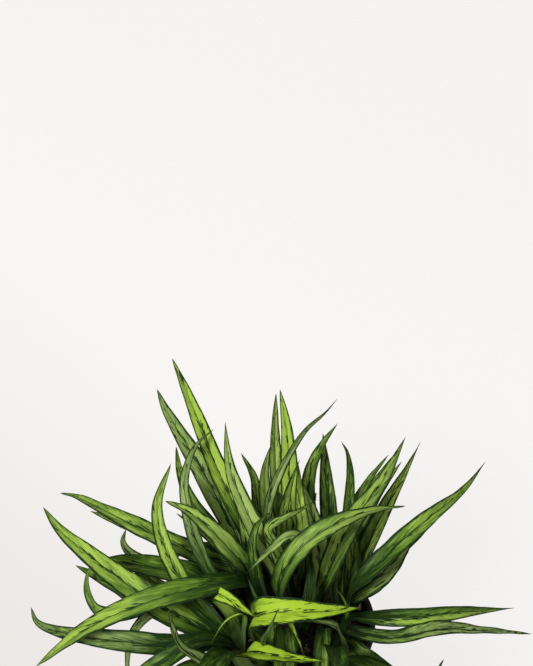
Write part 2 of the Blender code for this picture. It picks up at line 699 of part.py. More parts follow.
def soil_lump(x, y):
    """How much the potting mix's top stands above or below its swell."""
    large = math.sin(2 * math.pi * x / LUMP_WAVE + 1) * math.cos(2 * math.pi * y / LUMP_WAVE)
    small = SMALL_LUMP * math.sin(2 * math.pi * (x + y) / SMALL_LUMP_WAVE)
    return SOIL_LUMP * (large + small)


def make_soil(plant, cutters):
    """Potting mix that fills the pot to just under its rim, with a plain hole for each cane."""
    shoulder = inner_radius(SOIL_SHOULDER) - GAP
    profile = []
    for k in range(SOIL_RINGS + 1):
        share = k / SOIL_RINGS
        profile.append((share * (shoulder - EDGE), SOIL_TOP + SOIL_SWELL * (1 - share**2)))
    bottom = FLOOR + GAP
    profile += [(shoulder, SOIL_SHOULDER), (inner_radius(bottom) - GAP, bottom), (0, bottom)]
    guide = turned("soil_profile", profile, SOIL_SIDES, plant)
    mesh = settled(guide)
    drop(guide)
    for vertex in mesh.vertices:
        if vertex.co.z > SOIL_TOP - EDGE:
            vertex.co.z += soil_lump(vertex.co.x, vertex.co.y)
    soil = add_mesh("soil", mesh, plant)
    for name, stem in STEMS.items():
        radius = stem.radius * MM + STEM_HOLE_ROOM
        low = SOIL_TOP - STEM_HOLE_DEPTH
        cutter(f"hole_{name}", radius, low, POT_HEIGHT, stem.x * MM, stem.y * MM, STEM_HOLE_SIDES, cutters)
    boolean(soil, "DIFFERENCE", cutters)
    return soil


def make_stems(plant):
    """One solid for each cane with all its leaves."""
    canes = {name: make_cane(name, plant) for name in STEMS}
    placed = place_leaves(canes)
    for name, cane in canes.items():
        blades = collection("leaves_" + name, hidden=True)
        for number, (leaf, points) in enumerate(placed):
            if leaf.stem == name:
                add_shell(f"leaf_{number}", *leaf_shell(leaf, points), blades)
        boolean(cane, "UNION", blades)
        mesh = settled(cane)
        cane.modifiers.clear()
        cane.data = mesh
        for blade in list(blades.objects):
            drop(blade)
        bpy.data.collections.remove(blades)
    return list(canes.values())


def main():
    for obj in list(bpy.data.objects):
        drop(obj)
    plant = collection("potted_chinese_evergreen")
    drains = collection("drain_cutters", hidden=True)
    holes = collection("stem_hole_cutters", hidden=True)
    pot = make_pot(plant, drains)
    soil = make_soil(plant, holes)
    stems = make_stems(plant)
    pot.data.materials.append(material("pot_plastic", POT_COLOUR, roughness=0.55))
    soil.data.materials.append(material("potting_mix", SOIL_COLOUR, roughness=0.95))
    green = material("leaf", LEAF_COLOUR, roughness=0.45)
    for stem in stems:
        stem.data.materials.clear()
        stem.data.materials.append(green)
    for obj in plant.objects:
        obj.data.shade_smooth()
        obj.data.set_sharp_from_angle(angle=SHARP_ANGLE)


main()
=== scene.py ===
# %% [markdown]
# A potted Chinese evergreen
#
# A plain solid model of the plant already exists: a pot, its potting mix, and nine canes with all their
# leaves. It holds the sizes and the places. In this lesson each plain solid gets a finer piece that looks
# like the real thing, and every piece gets a finish made with nodes. We start by emptying Blender's
# startup scene and loading the solids, which all stand in one frame, in metres, with +Z up.

# %% Load the solid model
import json
import math
import random
from collections import namedtuple
from types import SimpleNamespace

import bmesh
import bpy
from mathutils import Matrix, Vector, noise
from mathutils.bvhtree import BVHTree

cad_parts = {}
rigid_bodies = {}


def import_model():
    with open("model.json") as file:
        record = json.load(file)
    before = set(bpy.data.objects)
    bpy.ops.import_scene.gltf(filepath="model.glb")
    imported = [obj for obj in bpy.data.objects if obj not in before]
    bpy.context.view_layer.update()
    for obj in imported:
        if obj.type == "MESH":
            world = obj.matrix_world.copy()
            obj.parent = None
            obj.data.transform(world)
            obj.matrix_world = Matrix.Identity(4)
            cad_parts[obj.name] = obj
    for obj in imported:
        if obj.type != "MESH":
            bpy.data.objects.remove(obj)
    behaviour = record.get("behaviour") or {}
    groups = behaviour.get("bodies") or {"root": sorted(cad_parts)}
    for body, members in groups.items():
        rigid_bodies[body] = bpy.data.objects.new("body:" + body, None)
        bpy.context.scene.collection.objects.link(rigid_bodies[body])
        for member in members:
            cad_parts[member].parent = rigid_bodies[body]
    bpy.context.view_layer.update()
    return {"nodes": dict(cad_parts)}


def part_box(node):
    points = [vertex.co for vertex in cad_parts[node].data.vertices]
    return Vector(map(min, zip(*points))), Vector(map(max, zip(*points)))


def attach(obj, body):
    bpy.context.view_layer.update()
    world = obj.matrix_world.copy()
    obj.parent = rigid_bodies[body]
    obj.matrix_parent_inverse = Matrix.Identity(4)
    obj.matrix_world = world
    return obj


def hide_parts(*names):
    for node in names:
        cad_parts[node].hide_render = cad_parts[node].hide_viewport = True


for startup_object in list(bpy.data.objects):
    bpy.data.objects.remove(startup_object)

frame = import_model()

MM = 0.001
UP = Vector((0, 0, 1))
print("solids:", ", ".join(sorted(frame["nodes"])))

# %% [markdown]
# The camera
#
# The photograph looks down on the plant at about 45 degrees through a lens of about 85 mm. We know which
# pixel shows the middle of the pot's rim, how far off it is and how steep the view is, and that fixes the
# camera. The same three directions, right, up and back, later turn a pixel into a line of sight.

# %% Make the camera
FRAME_WIDTH = 533
FRAME_HEIGHT = 666
FRAME_MIDDLE = (FRAME_WIDTH / 2, FRAME_HEIGHT / 2)
FOCAL_PIXELS = 1572.5
RIM_PIXEL = (292.0, 622.0)
VIEW_DISTANCE = 1.494
VIEW_PITCH = math.radians(44.6)
SENSOR_HEIGHT = 36.0
RIM_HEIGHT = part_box("pot")[1].z

SIGHT_RIGHT = Vector((1, 0, 0))
SIGHT_UP = Vector((0, math.sin(VIEW_PITCH), math.cos(VIEW_PITCH)))
SIGHT_BACK = SIGHT_RIGHT.cross(SIGHT_UP)


def sight_ray(column, row):
    """The line of sight through a pixel, one unit deep."""
    across = (column - FRAME_MIDDLE[0]) / FOCAL_PIXELS
    down = (row - FRAME_MIDDLE[1]) / FOCAL_PIXELS
    return across * SIGHT_RIGHT - down * SIGHT_UP - SIGHT_BACK


VIEWER = RIM_HEIGHT * UP - VIEW_DISTANCE * sight_ray(*RIM_PIXEL)


def make_camera():
    lens = bpy.data.cameras.new("camera")
    lens.sensor_fit = "VERTICAL"
    lens.sensor_height = SENSOR_HEIGHT
    lens.sensor_width = SENSOR_HEIGHT * FRAME_WIDTH / FRAME_HEIGHT
    lens.lens = FOCAL_PIXELS * SENSOR_HEIGHT / FRAME_HEIGHT
    camera = bpy.data.objects.new("camera", lens)
    turn = Matrix((SIGHT_RIGHT, SIGHT_UP, SIGHT_BACK)).transposed().to_4x4()
    camera.matrix_world = Matrix.Translation(VIEWER) @ turn
    bpy.context.scene.collection.objects.link(camera)
    bpy.context.scene.camera = camera
    return lens


print(f"lens {make_camera().lens:.0f} mm at", [round(x, 3) for x in VIEWER])

# %% [markdown]
# Wiring nodes
#
# Materials here are built from nodes, and nodes are wordy to write. This small helper adds a node to one
# tree, and fills each input with either a value or a wire from another node. Everything after it reads
# like a sum: noise, then a threshold, then a mix of two colours.

# %% A helper that wires nodes
def opaque(colour):
    """A plain colour with its alpha. A wire stays as it is."""
    return (*colour, 1) if isinstance(colour, tuple) else colour


class Wires:
    """Adds nodes to one tree and wires them together."""

    def __init__(self, tree):
        self.tree = tree

    def node(self, kind, inputs=None, **settings):
        made = self.tree.nodes.new(kind)
        for name, value in settings.items():
            setattr(made, name, value)
        for name, value in (inputs or {}).items():
            if isinstance(value, bpy.types.NodeSocket):
                self.tree.links.new(value, made.inputs[name])
            else:
                made.inputs[name].default_value = value
        return made

    def math(self, operation, *values, clamp=False):
        made = self.node("ShaderNodeMath", dict(enumerate(values)), operation=operation, use_clamp=clamp)
        return made.outputs[0]

    def plus(self, one, other):
        return self.math("ADD", one, other)

    def minus(self, one, other, clamp=False):
        return self.math("SUBTRACT", one, other, clamp=clamp)

    def times(self, one, other, clamp=False):
        return self.math("MULTIPLY", one, other, clamp=clamp)

    def scaled(self, value, factor, start, clamp=False):
        """The value times a factor, plus a start."""
        return self.math("MULTIPLY_ADD", value, factor, start, clamp=clamp)

    def blend(self, share, low, high):
        """A value between two values."""
        return self.node("ShaderNodeMix", {0: share, 2: low, 3: high}).outputs[0]

    def paint(self, share, under, over, blend_type="MIX"):
        """One colour laid over another."""
        inputs = {0: share, 6: opaque(under), 7: opaque(over)}
        return self.node("ShaderNodeMix", inputs, data_type="RGBA", blend_type=blend_type).outputs[2]

    def step(self, value, low, high):
        """0 at one value and 1 at another, with a smooth change between."""
        inputs = {"Value": value, "From Min": low, "From Max": high}
        return self.node("ShaderNodeMapRange", inputs, interpolation_type="SMOOTHSTEP").outputs[0]

    def place(self, x, y, z):
        return self.node("ShaderNodeCombineXYZ", {0: x, 1: y, 2: z}).outputs[0]

    def split(self, vector):
        return self.node("ShaderNodeSeparateXYZ", {0: vector}).outputs

    def stretch(self, vector, scale):
        return self.node("ShaderNodeMapping", {"Vector": vector, "Scale": scale}).outputs[0]

    def noise(self, vector, scale=1.0, detail=2.0, roughness=0.5):
        inputs = {"Vector": vector, "Scale": scale, "Detail": detail, "Roughness": roughness}
        return self.node("ShaderNodeTexNoise", inputs).outputs[0]

    def attribute(self, name):
        """The three parts of a vector that the mesh carries at each of its points."""
        return self.split(self.node("ShaderNodeAttribute", attribute_name=name).outputs["Vector"])

    def objects(self):
        return self.node("ShaderNodeTexCoord").outputs["Object"]

    def bump(self, height, depth, strength):
        inputs = {"Height": height, "Distance": depth, "Strength": strength}
        return self.node("ShaderNodeBump", inputs).outputs[0]


print("wires ready")

# %% [markdown]
# New materials and groups
#
# A finish is a material with one Principled shader. An effect with many nodes, or one that several finishes
# share, goes into a node group: a small tree with named inputs and outputs, which a material places with its
# own values.

# %% Helpers that start a material or a group
def new_material(name, colour, roughness=0.5):
    """A material with one Principled shader, and the wires to go on with."""
    made = bpy.data.materials.new(name)
    made.use_nodes = True
    made.diffuse_color = opaque(colour)
    shader = made.node_tree.nodes["Principled BSDF"]
    shader.inputs["Base Color"].default_value = opaque(colour)
    shader.inputs["Roughness"].default_value = roughness
    return made, shader, Wires(made.node_tree)


def new_group(name, inputs, outputs):
    """A node group, its wires and what comes in. Its inputs and outputs are given as name: kind."""
    group = bpy.data.node_groups.new(name, "ShaderNodeTree")
    for in_out, sockets in (("INPUT", inputs), ("OUTPUT", outputs)):
        for socket, kind in sockets.items():
            group.interface.new_socket(socket, in_out=in_out, socket_type="NodeSocket" + kind)
    wires = Wires(group)
    return group, wires, wires.node("NodeGroupInput").outputs


def join(wires, shader, **outputs):
    """Wires outputs to the shader. An underscore in a name stands for a space."""
    for name, output in outputs.items():
        wires.tree.links.new(output, shader.inputs[name.replace("_", " ")])


print("materials and groups ready")

# %% [markdown]
# The studio
#
# The photograph was taken in plain soft light on a pale ground. A large soft lamp from the upper left is
# the key, a weaker one fills from the right, one behind lights the far leaves, and an even sky lightens the
# shade. The ground is one big flat sheet that glows a little, a painted light, and less at the near left,
# where it has a painted shade, and it is kept from lighting the plant. The camera sees the sky as pale as
# the ground.

# %% Make the floor and the lights
FLOOR_SIZE = 30.0
FLOOR_COLOUR = (0.14, 0.137, 0.134)
SHADED_GLOW = (0.70, 0.668, 0.645)
LIT_GLOW = (0.818, 0.810, 0.793)
# Where the glow starts and stops growing, in metres rightwards and backwards together
GLOW_FROM = -0.42
GLOW_TO = 0.36
SKY_STRENGTH = 0.22
SKY_SEEN = 0.87
# Where each lamp hangs and how wide it is, in metres, and its power in watts
LAMPS = {
    "key": ((-1.8, -1.9, 2.9), 1.4, 101.0),
    "fill": ((2.6, -1.2, 2.4), 1.8, 12.0),
    "back": ((-0.8, 2.6, 3.0), 1.6, 12.0),
}


def make_floor():
    shape = bmesh.new()
    bmesh.ops.create_grid(shape, x_segments=1, y_segments=1, size=FLOOR_SIZE / 2)
    mesh = bpy.data.meshes.new("floor")
    shape.to_mesh(mesh)
    shape.free()
    finish, shader, wires = new_material("pale_ground", FLOOR_COLOUR, roughness=0.85)
    shader.inputs["Emission Strength"].default_value = 1.0
    rightward, backward, _ = wires.split(wires.objects())
    # The ground's glow is a painted light, dimmer towards the near left as a painted shade
    away = wires.step(wires.plus(rightward, backward), GLOW_FROM, GLOW_TO)
    join(wires, shader, Emission_Color=wires.paint(away, SHADED_GLOW, LIT_GLOW))
    mesh.materials.append(finish)
    floor = bpy.data.objects.new("floor", mesh)
    floor.visible_diffuse = False
    bpy.context.scene.collection.objects.link(floor)


def make_lamp(name, place, size, power):
    light = bpy.data.lights.new(name, "AREA")
    light.shape = "DISK"
    light.size = size
    light.energy = power
    lamp = bpy.data.objects.new(name, light)
    lamp.location = place
    aim = Vector((0, 0, RIM_HEIGHT)) - Vector(place)
    lamp.rotation_euler = aim.to_track_quat("-Z", "Y").to_euler()
    bpy.context.scene.collection.objects.link(lamp)


def make_sky():
    sky = bpy.data.worlds.new("sky")
    sky.use_nodes = True
    background = sky.node_tree.nodes["Background"]
    background.inputs["Color"].default_value = (1, 1, 1, 1)
    wires = Wires(sky.node_tree)
    in_view = wires.node("ShaderNodeLightPath").outputs["Is Camera Ray"]
    join(wires, background, Strength=wires.blend(in_view, SKY_STRENGTH, SKY_SEEN))
    bpy.context.scene.world = sky


make_floor()
make_sky()
for lamp_name, (lamp_place, lamp_size, lamp_power) in LAMPS.items():
    make_lamp(lamp_name, lamp_place, lamp_size, lamp_power)
bpy.context.scene.view_settings.view_transform = "Standard"
print("lamps:", ", ".join(LAMPS))

# %% [markdown]
# From a mesh to a piece
#
# Every piece ends in the same way: its bmesh becomes a mesh with its finish, its faces are shaded smoothly
# with sharp edges kept where it folds hard, the solids it stands for are hidden, and it rides on a body. The
# plant has no joints, so its only body is the root.

# %% A helper that finishes a piece
SHARP_ANGLE = math.radians(50)


def finish_piece(name, shape, material, stands_for=()):
    mesh = bpy.data.meshes.new(name)
    shape.to_mesh(mesh)
    shape.free()
    mesh.materials.append(material)
    mesh.shade_smooth()
    mesh.set_sharp_from_angle(angle=SHARP_ANGLE)
    piece = bpy.data.objects.new(name, mesh)
    bpy.context.scene.collection.objects.link(piece)
    if stands_for:
        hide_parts(*stands_for)
    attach(piece, "root")
    return piece


# %% [markdown]
# A sheet wrapped into a closed skin
#
# A leaf with its stalk, a cane and the potting mix are all closed skins: a row of rings from one end to the
# other. Rather than listing faces, we take Blender's grid, which comes with faces and a UV map, move each
# point to its place on the skin, and merge the doubled points at the seam and at the two ends.

# %% A helper that wraps a grid
MERGE = 0.004 * MM


def wrapped_grid(along, around, place, vectors=None):
    """A closed skin: place(i, j) is the point of ring i at step j round it.

    vectors, if given, has a function of i and j for each name: a vector that every point carries."""
    shape = bmesh.new()
    shape.loops.layers.uv.new("UVMap")
    vectors = vectors or {}
    layers = {name: shape.verts.layers.float_vector.new(name) for name in vectors}
    bmesh.ops.create_grid(shape, x_segments=along, y_segments=around, size=1, calc_uvs=True)
    for vertex in shape.verts:
        i = round((vertex.co.x + 1) / 2 * along)
        j = round((vertex.co.y + 1) / 2 * around) % around
        vertex.co = place(i, j)
        for name, layer in layers.items():
            vertex[layer] = vectors[name](i, j)
    bmesh.ops.remove_doubles(shape, verts=shape.verts, dist=MERGE)
    bmesh.ops.recalc_face_normals(shape, faces=shape.faces)
    return shape


print("skins merge at", MERGE / MM, "mm")

# %% [markdown]
# Where the canes stand
#
# Nine canes share the pot. Each is given by its foot in the potting mix, its top, its height above the rim
# and its radius, as in the solid model, so the finer canes stand in the same places. A last number says how
# early the blades of that cane taper.

# %% List the canes
Stem = namedtuple("Stem", "x y top_x top_y top radius taper")
# In mm but for the taper: places from the pot's axis, and the top's height above the rim
STEMS = {
    "left": Stem(-40, -4, -43, -4, 24, 5.5, 0.75),
    "centre": Stem(5, -10, 4, -12, 26, 6.0, 1.0),
    "right": Stem(48, -6, 52, -6, 12, 5.5, 1.25),
    "front_left": Stem(-42, -44, -47, -48, 6, 5.0, 0.75),
    "front": Stem(-6, -50, -8, -55, 10, 5.0, 0.85),
    "front_right": Stem(33, -42, 35, -46, 10, 5.5, 1.0),
    "back_left": Stem(-33, 36, -35, 40, 20, 5.5, 0.72),
    "back": Stem(1, 37, 0, 40, 24, 5.5, 0.75),
    "back_right": Stem(36, 31, 38, 33, 18, 5.5, 0.85),
}
MIX_BELOW_RIM = 14 * MM
SOIL_TOP = RIM_HEIGHT - MIX_BELOW_RIM


def foot_of(name):
    """Where a cane leaves the potting mix."""
    stem = STEMS[name]
    return Vector((stem.x * MM, stem.y * MM, SOIL_TOP))


def cane_point(name, below):
    """The point on a cane's axis `below` metres under its top."""
    stem = STEMS[name]
    top = Vector((stem.top_x, stem.top_y, stem.top)) * MM + RIM_HEIGHT * UP
    return top + (foot_of(name) - top).normalized() * below


print(len(STEMS), "canes")

# %% [markdown]
# Where the leaves run
#
# Each leaf that the photograph shows is a row: its cane, its tone, how far under the cane's top it grows,
# its width, how much it is rolled, and its midrib from the cane to the tip. A point of a midrib is the
# pixel it is seen at and how far it reaches towards the viewer, so the leaf matches the photograph and still
# has its real place in depth. The leaves on the far side and those under the photograph's lower edge can't
# be seen: they are placed as such a plant would have them.

# %% List the leaves
# Each row is the cane, the tone, mm below the cane's top, width in mm, roll in degrees, and the midrib: the
# pixel's column and row, and mm nearer to the viewer than the middle of the rim
SEEN_LEAVES = [
    ("left", "bright", 2, 25, 8,
     [(250, 582, 45), (200, 588, 72), (150, 601, 86), (90, 627, 78), (35, 667, 58)]),
    ("front_left", "grey", 2, 22, 0,
     [(240, 638, 52), (180, 646, 62), (120, 641, 66), (60, 632, 56), (37, 622, 50), (31, 607, 46)]),
    ("front_left", "bright", 5, 25, 0,
     [(240, 645, 50), (200, 627, 52), (150, 600, 50), (95, 560, 36), (60, 530, 22), (43, 507, 10)]),
    ("left", "mid", 14, 21, 0,
     [(245, 574, 28), (200, 556, 22), (150, 533, 6), (100, 508, -20), (78, 497, -33), (60, 493, -45)]),
    ("front_left", "bright", 0, 17, 0,
     [(228, 636, 58), (192, 596, 52), (167, 552, 58), (157, 508, 60), (171, 463, 54)]),
    ("left", "fresh", 6, 22, 0,
     [(250, 575, 46), (232, 552, 60), (210, 529, 68), (188, 511, 68), (165, 501, 60)]),
    ("centre", "light", 2, 19, 5,
     [(286, 592, 46), (267, 550, 52), (246, 510, 50), (230, 467, 44), (225, 421, 30)]),
    ("centre", "fresh", 8, 24, 0,
     [(279, 597, 55), (286, 568, 75), (303, 546, 85), (335, 524, 88), (370, 511, 80), (406, 506, 65)]),
    ("right", "mid", 2, 19, 0,
     [(349, 595, 25), (381, 560, 35), (431, 516, 25), (464, 489, 8), (486, 461, -8)]),
    ("centre", "fresh", 4, 21, 0,
     [(316, 600, 40), (334, 557, 46), (352, 522, 40), (382, 482, 30), (406, 436, 14)]),
    ("back_left", "sunlit", 2, 19, 0,
     [(260, 562, 20), (238, 512, 16), (215, 463, 8), (195, 412, -6), (172, 358, -26)]),
    ("back_left", "grey", 8, 22, 0,
     [(252, 570, 8), (228, 518, 0), (203, 472, -10), (176, 427, -25), (164, 406, -34), (157, 389, -42)]),
    ("front", "lime", 2, 30, -10,
     [(264, 640, 62), (254, 616, 90), (278, 612, 108), (318, 611, 116), (360, 608, 112)]),
    ("front", "lime", 0, 25, -10,
     [(254, 664, 66), (246, 652, 88), (266, 654, 104), (294, 659, 112), (323, 661, 114)]),
    ("right", "soft", 10, 17, 0,
     [(342, 618, 22), (380, 618, 36), (420, 617, 42), (464, 612, 34), (515, 608, 8)]),
    ("front_right", "waved", 6, 19, 0,
     [(334, 628, 36), (366, 635, 46), (396, 638, 52), (440, 629, 54), (490, 631, 40), (533, 634, 24)]),
    ("front_right", "soft", 12, 23, 0,
     [(340, 641, 42), (364, 660, 56), (394, 679, 58), (428, 681, 52), (444, 659, 50)]),
    ("right", "waved", 8, 29, 0, [(350, 600, 8), (384, 571, 4), (420, 528, -6)]),
    ("right", "soft", 0, 17, 0,
     [(350, 586, 4), (366, 548, 8), (387, 505, 4), (406, 470, -6), (421, 441, -16)]),
    ("left", "pale", 10, 14, -10,
     [(222, 590, 48), (200, 550, 54), (187, 507, 54), (185, 478, 52), (196, 446, 44), (214, 429, 36)]),
    ("back", "sunlit", 2, 18, 0, [(293, 540, 14), (290, 485, 12), (287, 432, 6), (280, 389, -6)]),
    ("back", "fresh", 6, 15, 20, [(282, 530, 4), (276, 472, 2), (275, 430, -2), (276, 393, -12)]),
    ("centre", "pale", 0, 10, 40,
     [(270, 545, 46), (268, 507, 58), (282, 468, 64), (305, 431, 58), (325, 413, 50), (338, 398, 40)]),
    ("back_right", "soft", 4, 16, 0,
     [(318, 550, 0), (308, 500, 0), (311, 470, -2), (322, 445, -6), (338, 423, -12)]),
    ("back_right", "dark", 0, 17, 0, [(331, 550, -10), (328, 505, -12), (325, 465, -16), (323, 433, -22)]),
    ("back_right", "dark", 8, 12, 0,
     [(344, 550, -14), (349, 502, -16), (350, 472, -20), (347, 452, -24), (341, 441, -28)]),
    ("left", "dark", 0, 15, 0,
     [(262, 596, 46), (257, 574, 60), (253, 548, 68), (257, 526, 73), (270, 512, 74)]),
    ("centre", "light", 12, 15, -10,
     [(300, 566, 44), (303, 540, 60), (289, 536, 74), (268, 552, 86), (246, 574, 92)]),
    ("front_left", "soft", 8, 18, 0,
     [(236, 645, 56), (200, 640, 70), (163, 662, 78), (110, 698, 62), (66, 728, 34)]),
    ("front_left", "pale", 0, 17, 30,
     [(236, 672, 72), (206, 662, 94), (181, 647, 104), (172, 627, 108), (169, 608, 108)]),
    ("front_left", "lime", 4, 20, 20, [(234, 612, 86), (218, 594, 102), (232, 601, 115), (255, 617, 120)]),
    ("left", "dark", 18, 32, 0,
     [(240, 582, 22), (200, 578, 14), (150, 567, 6), (110, 562, -2), (84, 563, -10)]),
    ("back_left", "dark", 0, 14, 0,
     [(240, 560, 6), (213, 528, 8), (192, 502, 8), (180, 472, 2), (176, 446, -6)]),
    ("back", "fresh", 10, 15, 0, [(275, 540, 0), (266, 502, -6), (265, 472, -10), (270, 447, -14)]),
    ("back", "bright", 0, 14, 0, [(304, 578, 22), (304, 540, 24), (300, 500, 22), (298, 463, 16)]),
    ("back_right", "light", 2, 23, 0, [(322, 580, 24), (318, 550, 30), (312, 515, 32), (303, 483, 28)]),
    ("centre", "mid", 6, 13, 30, [(281, 545, 26), (283, 512, 30), (290, 484, 30), (300, 459, 26)]),
    ("back_left", "soft", 12, 13, 0, [(268, 540, -10), (258, 507, -12), (254, 478, -14), (241, 453, -18)]),
    ("centre", "fresh", 10, 13, 0,
     [(282, 556, 48), (268, 528, 62), (282, 519, 68), (300, 510, 70), (318, 499, 70)]),
    ("right", "dark", 4, 15, 0, [(346, 594, 14), (353, 562, 18), (353, 528, 14), (351, 500, 0)]),
    ("right", "soft", 12, 11, 0, [(338, 592, 18), (341, 558, 20), (343, 528, 14)]),
    ("back_right", "fresh", 12, 12, 0, [(345, 530, -6), (366, 485, -12), (389, 454, -22)]),
    ("back_right", "fresh", 6, 14, 0, [(350, 545, 8), (378, 494, 10), (402, 461, 0)]),
    ("left", "pale", 22, 20, -20,
     [(230, 580, 4), (190, 578, -6), (150, 565, -14), (131, 554, -16), (123, 542, -16), (126, 529, -16)]),
    ("front_left", "dark", 12, 22, 0, [(235, 640, 36), (190, 626, 32), (125, 592, 20), (75, 565, 4)]),
    ("left", "mid", 20, 19, -30,
     [(235, 592, 34), (190, 596, 34), (140, 607, 34), (114, 614, 34), (97, 609, 32), (88, 592, 28),
      (88, 574, 26), (96, 558, 24)]),
    ("left", "pale", 24, 12, -30,
     [(236, 594, 48), (190, 602, 60), (160, 609, 72), (143, 620, 78), (131, 637, 78), (128, 655, 76),
      (128, 678, 72), (128, 700, 66)]),
    ("left", "mid", 12, 11, 0, [(235, 566, 40), (204, 534, 48), (176, 513, 46)]),
    ("left", "fresh", 8, 14, 0, [(258, 588, 34), (250, 555, 38), (243, 522, 38), (236, 497, 34)]),
    ("front", "lime", 16, 11, 0,
     [(272, 645, 60), (278, 620, 84), (287, 620, 96), (296, 636, 104), (305, 657, 106)]),
    ("front", "mid", 4, 8, 0, [(268, 648, 78), (255, 633, 96), (242, 619, 108)]),
    ("front", "deep", 6, 6, 0, [(263, 645, 84), (270, 628, 124), (279, 607, 134)]),
    ("front_left", "lime", 2, 6, 0, [(243, 632, 84), (243, 614, 104), (226, 621, 114), (210, 645, 114)]),
    ("front_right", "lime", 0, 6, 0, [(347, 612, 60), (343, 598, 76), (334, 587, 82)]),
    ("front_right", "mid", 2, 15, 0, [(325, 628, 60), (322, 650, 84), (319, 690, 78), (316, 730, 50)]),
    ("front_right", "light", 4, 15, 0, [(342, 648, 60), (338, 629, 84), (321, 622, 100), (301, 621, 104)]),
    ("front", "mid", 8, 22, 0, [(284, 628, 62), (285, 650, 84), (281, 690, 84), (272, 740, 52)]),
    ("front", "deep", 2, 14, 0, [(300, 630, 46), (308, 604, 60), (311, 578, 60), (309, 547, 54)]),
    ("left", "dark", 0, 6, 0, [(262, 606, 72), (255, 596, 84), (248, 578, 86)]),
    ("left", "fresh", 16, 13, 0,
     [(234, 602, 24), (200, 598, 22), (172, 591, 18), (146, 577, 10), (121, 561, 2)]),
]

# The leaves on the far side, each behind one of those above and placed in the same way
FAR_LEAVES = [
    ("back_right", "dark", 16, 13, 0, [(333, 560, -36), (328, 500, -70), (325, 452, -98)]),
    ("back_right", "mid", 20, 14, 0, [(350, 530, -30), (375, 485, -60), (396, 452, -84)]),
    ("back_left", "mid", 16, 19, 0, [(240, 540, -34), (214, 482, -64), (195, 444, -92)]),
    ("back", "dark", 16, 13, 0, [(286, 520, -34), (284, 470, -62), (284, 425, -86)]),
    ("back_left", "mid", 20, 17, 0, [(222, 562, -18), (150, 534, -50), (90, 511, -84)]),
    ("right", "mid", 16, 15, 0, [(362, 578, -14), (404, 537, -46), (446, 500, -80)]),
    ("back_left", "dark", 24, 17, 0, [(238, 545, -50), (215, 490, -92), (190, 446, -130)]),
    ("back", "mid", 20, 17, 0, [(286, 524, -52), (285, 475, -92), (283, 440, -124)]),
    ("back_right", "dark", 24, 17, 0, [(334, 552, -50), (329, 505, -88), (325, 470, -118)]),
    ("back_right", "mid", 28, 16, 0, [(350, 536, -46), (372, 494, -84), (393, 464, -112)]),
    ("right", "mid", 20, 20, 0, [(376, 572, -34), (428, 522, -74), (466, 487, -104)]),
]

# The leaves below the view. Their rows have a heading in degrees before the midrib, whose points are mm
# out from the cane's top and mm above the rim
TURNED_LEAVES = [
    ("front_left", "soft", 14, 25, 0, 228, [(18, 26), (70, 62), (140, 62), (205, 22)]),
    ("front_left", "dark", 6, 23, 0, 252, [(14, 34), (54, 84), (112, 104), (172, 84)]),
    ("front", "bright", 10, 25, 0, 262, [(16, 32), (60, 66), (125, 64), (190, 12)]),
    ("front", "mid", 14, 23, 0, 240, [(18, 24), (64, 46), (120, 36), (170, -6)]),
    ("front", "mid", 12, 24, 0, 288, [(16, 26), (66, 52), (130, 44), (196, -8)]),
    ("front_right", "soft", 10, 25, 0, 296, [(16, 30), (66, 70), (128, 80), (196, 44)]),
    ("front_right", "mid", 16, 24, 0, 318, [(18, 24), (70, 44), (136, 34), (200, -10)]),
    ("front_right", "deep", 8, 20, 0, 272, [(12, 36), (44, 88), (90, 118), (140, 118)]),
    ("right", "dark", 18, 22, 0, 288, [(14, 10), (50, 4), (96, -20), (138, -62)]),
    ("back", "mid", 22, 22, 0, 80, [(14, 22), (52, 36), (96, 14), (132, -40)]),
    ("back", "dark", 26, 20, 0, 106, [(14, 18), (50, 28), (92, 4), (122, -50)]),
    ("back_left", "dark", 27, 20, 0, 152, [(14, 18), (46, 28), (80, 8), (110, -34)]),
    ("back_right", "mid", 25, 20, 0, 60, [(14, 16), (44, 24), (76, 4), (102, -34)]),
    ("front_right", "dark", 20, 18, 0, 307, [(14, 18), (48, 24), (90, 6), (130, -34)]),
]

print(len(SEEN_LEAVES), "seen,", len(FAR_LEAVES), "far and", len(TURNED_LEAVES), "turned leaves")

# %% [markdown]
# From a row to a leaf
#
# The rows hold pixels and millimetres. A point that the photograph shows lies on the line of sight through
# its pixel, as far off as its row says. A point of the leaves below the view is given by a heading from its
# cane's top.

# %% Turn rows into leaves
Leaf = namedtuple("Leaf", "number stem tone drop width roll knots along_sight")


def seen(column, row, near):
    """The point seen at a pixel, `near` mm nearer to the viewer than the middle of the rim."""
    return VIEWER + (VIEW_DISTANCE - near * MM) * sight_ray(column, row)


def headed(stem, heading, reach, height):
    """The point `reach` mm out from a cane's top on a heading, `height` mm above the rim."""
    angle = math.radians(heading)
    x = STEMS[stem].top_x + reach * math.cos(angle)
    y = STEMS[stem].top_y + reach * math.sin(angle)
    return Vector((x, y, height)) * MM + RIM_HEIGHT * UP


def all_leaves():
    found = []
    for stem, tone, drop, width, roll, points in SEEN_LEAVES + FAR_LEAVES:
        knots = [seen(*point) for point in points]
        found.append(Leaf(len(found), stem, tone, drop * MM, width * MM, math.radians(roll), knots, True))
    for stem, tone, drop, width, roll, heading, points in TURNED_LEAVES:
        knots = [headed(stem, heading, *point) for point in points]
        found.append(Leaf(len(found), stem, tone, drop * MM, width * MM, math.radians(roll), knots, False))
    return found


leaves = all_leaves()
print(len(leaves), "leaves, the widest", round(max(leaf.width for leaf in leaves) / MM), "mm")

# %% [markdown]
# A smooth midrib
#
# The knots give a few points of each midrib. A smooth curve through them, a Catmull-Rom spline, is sampled at
# even distances, and arched a little towards the viewer as a leaf's own weight arches it.

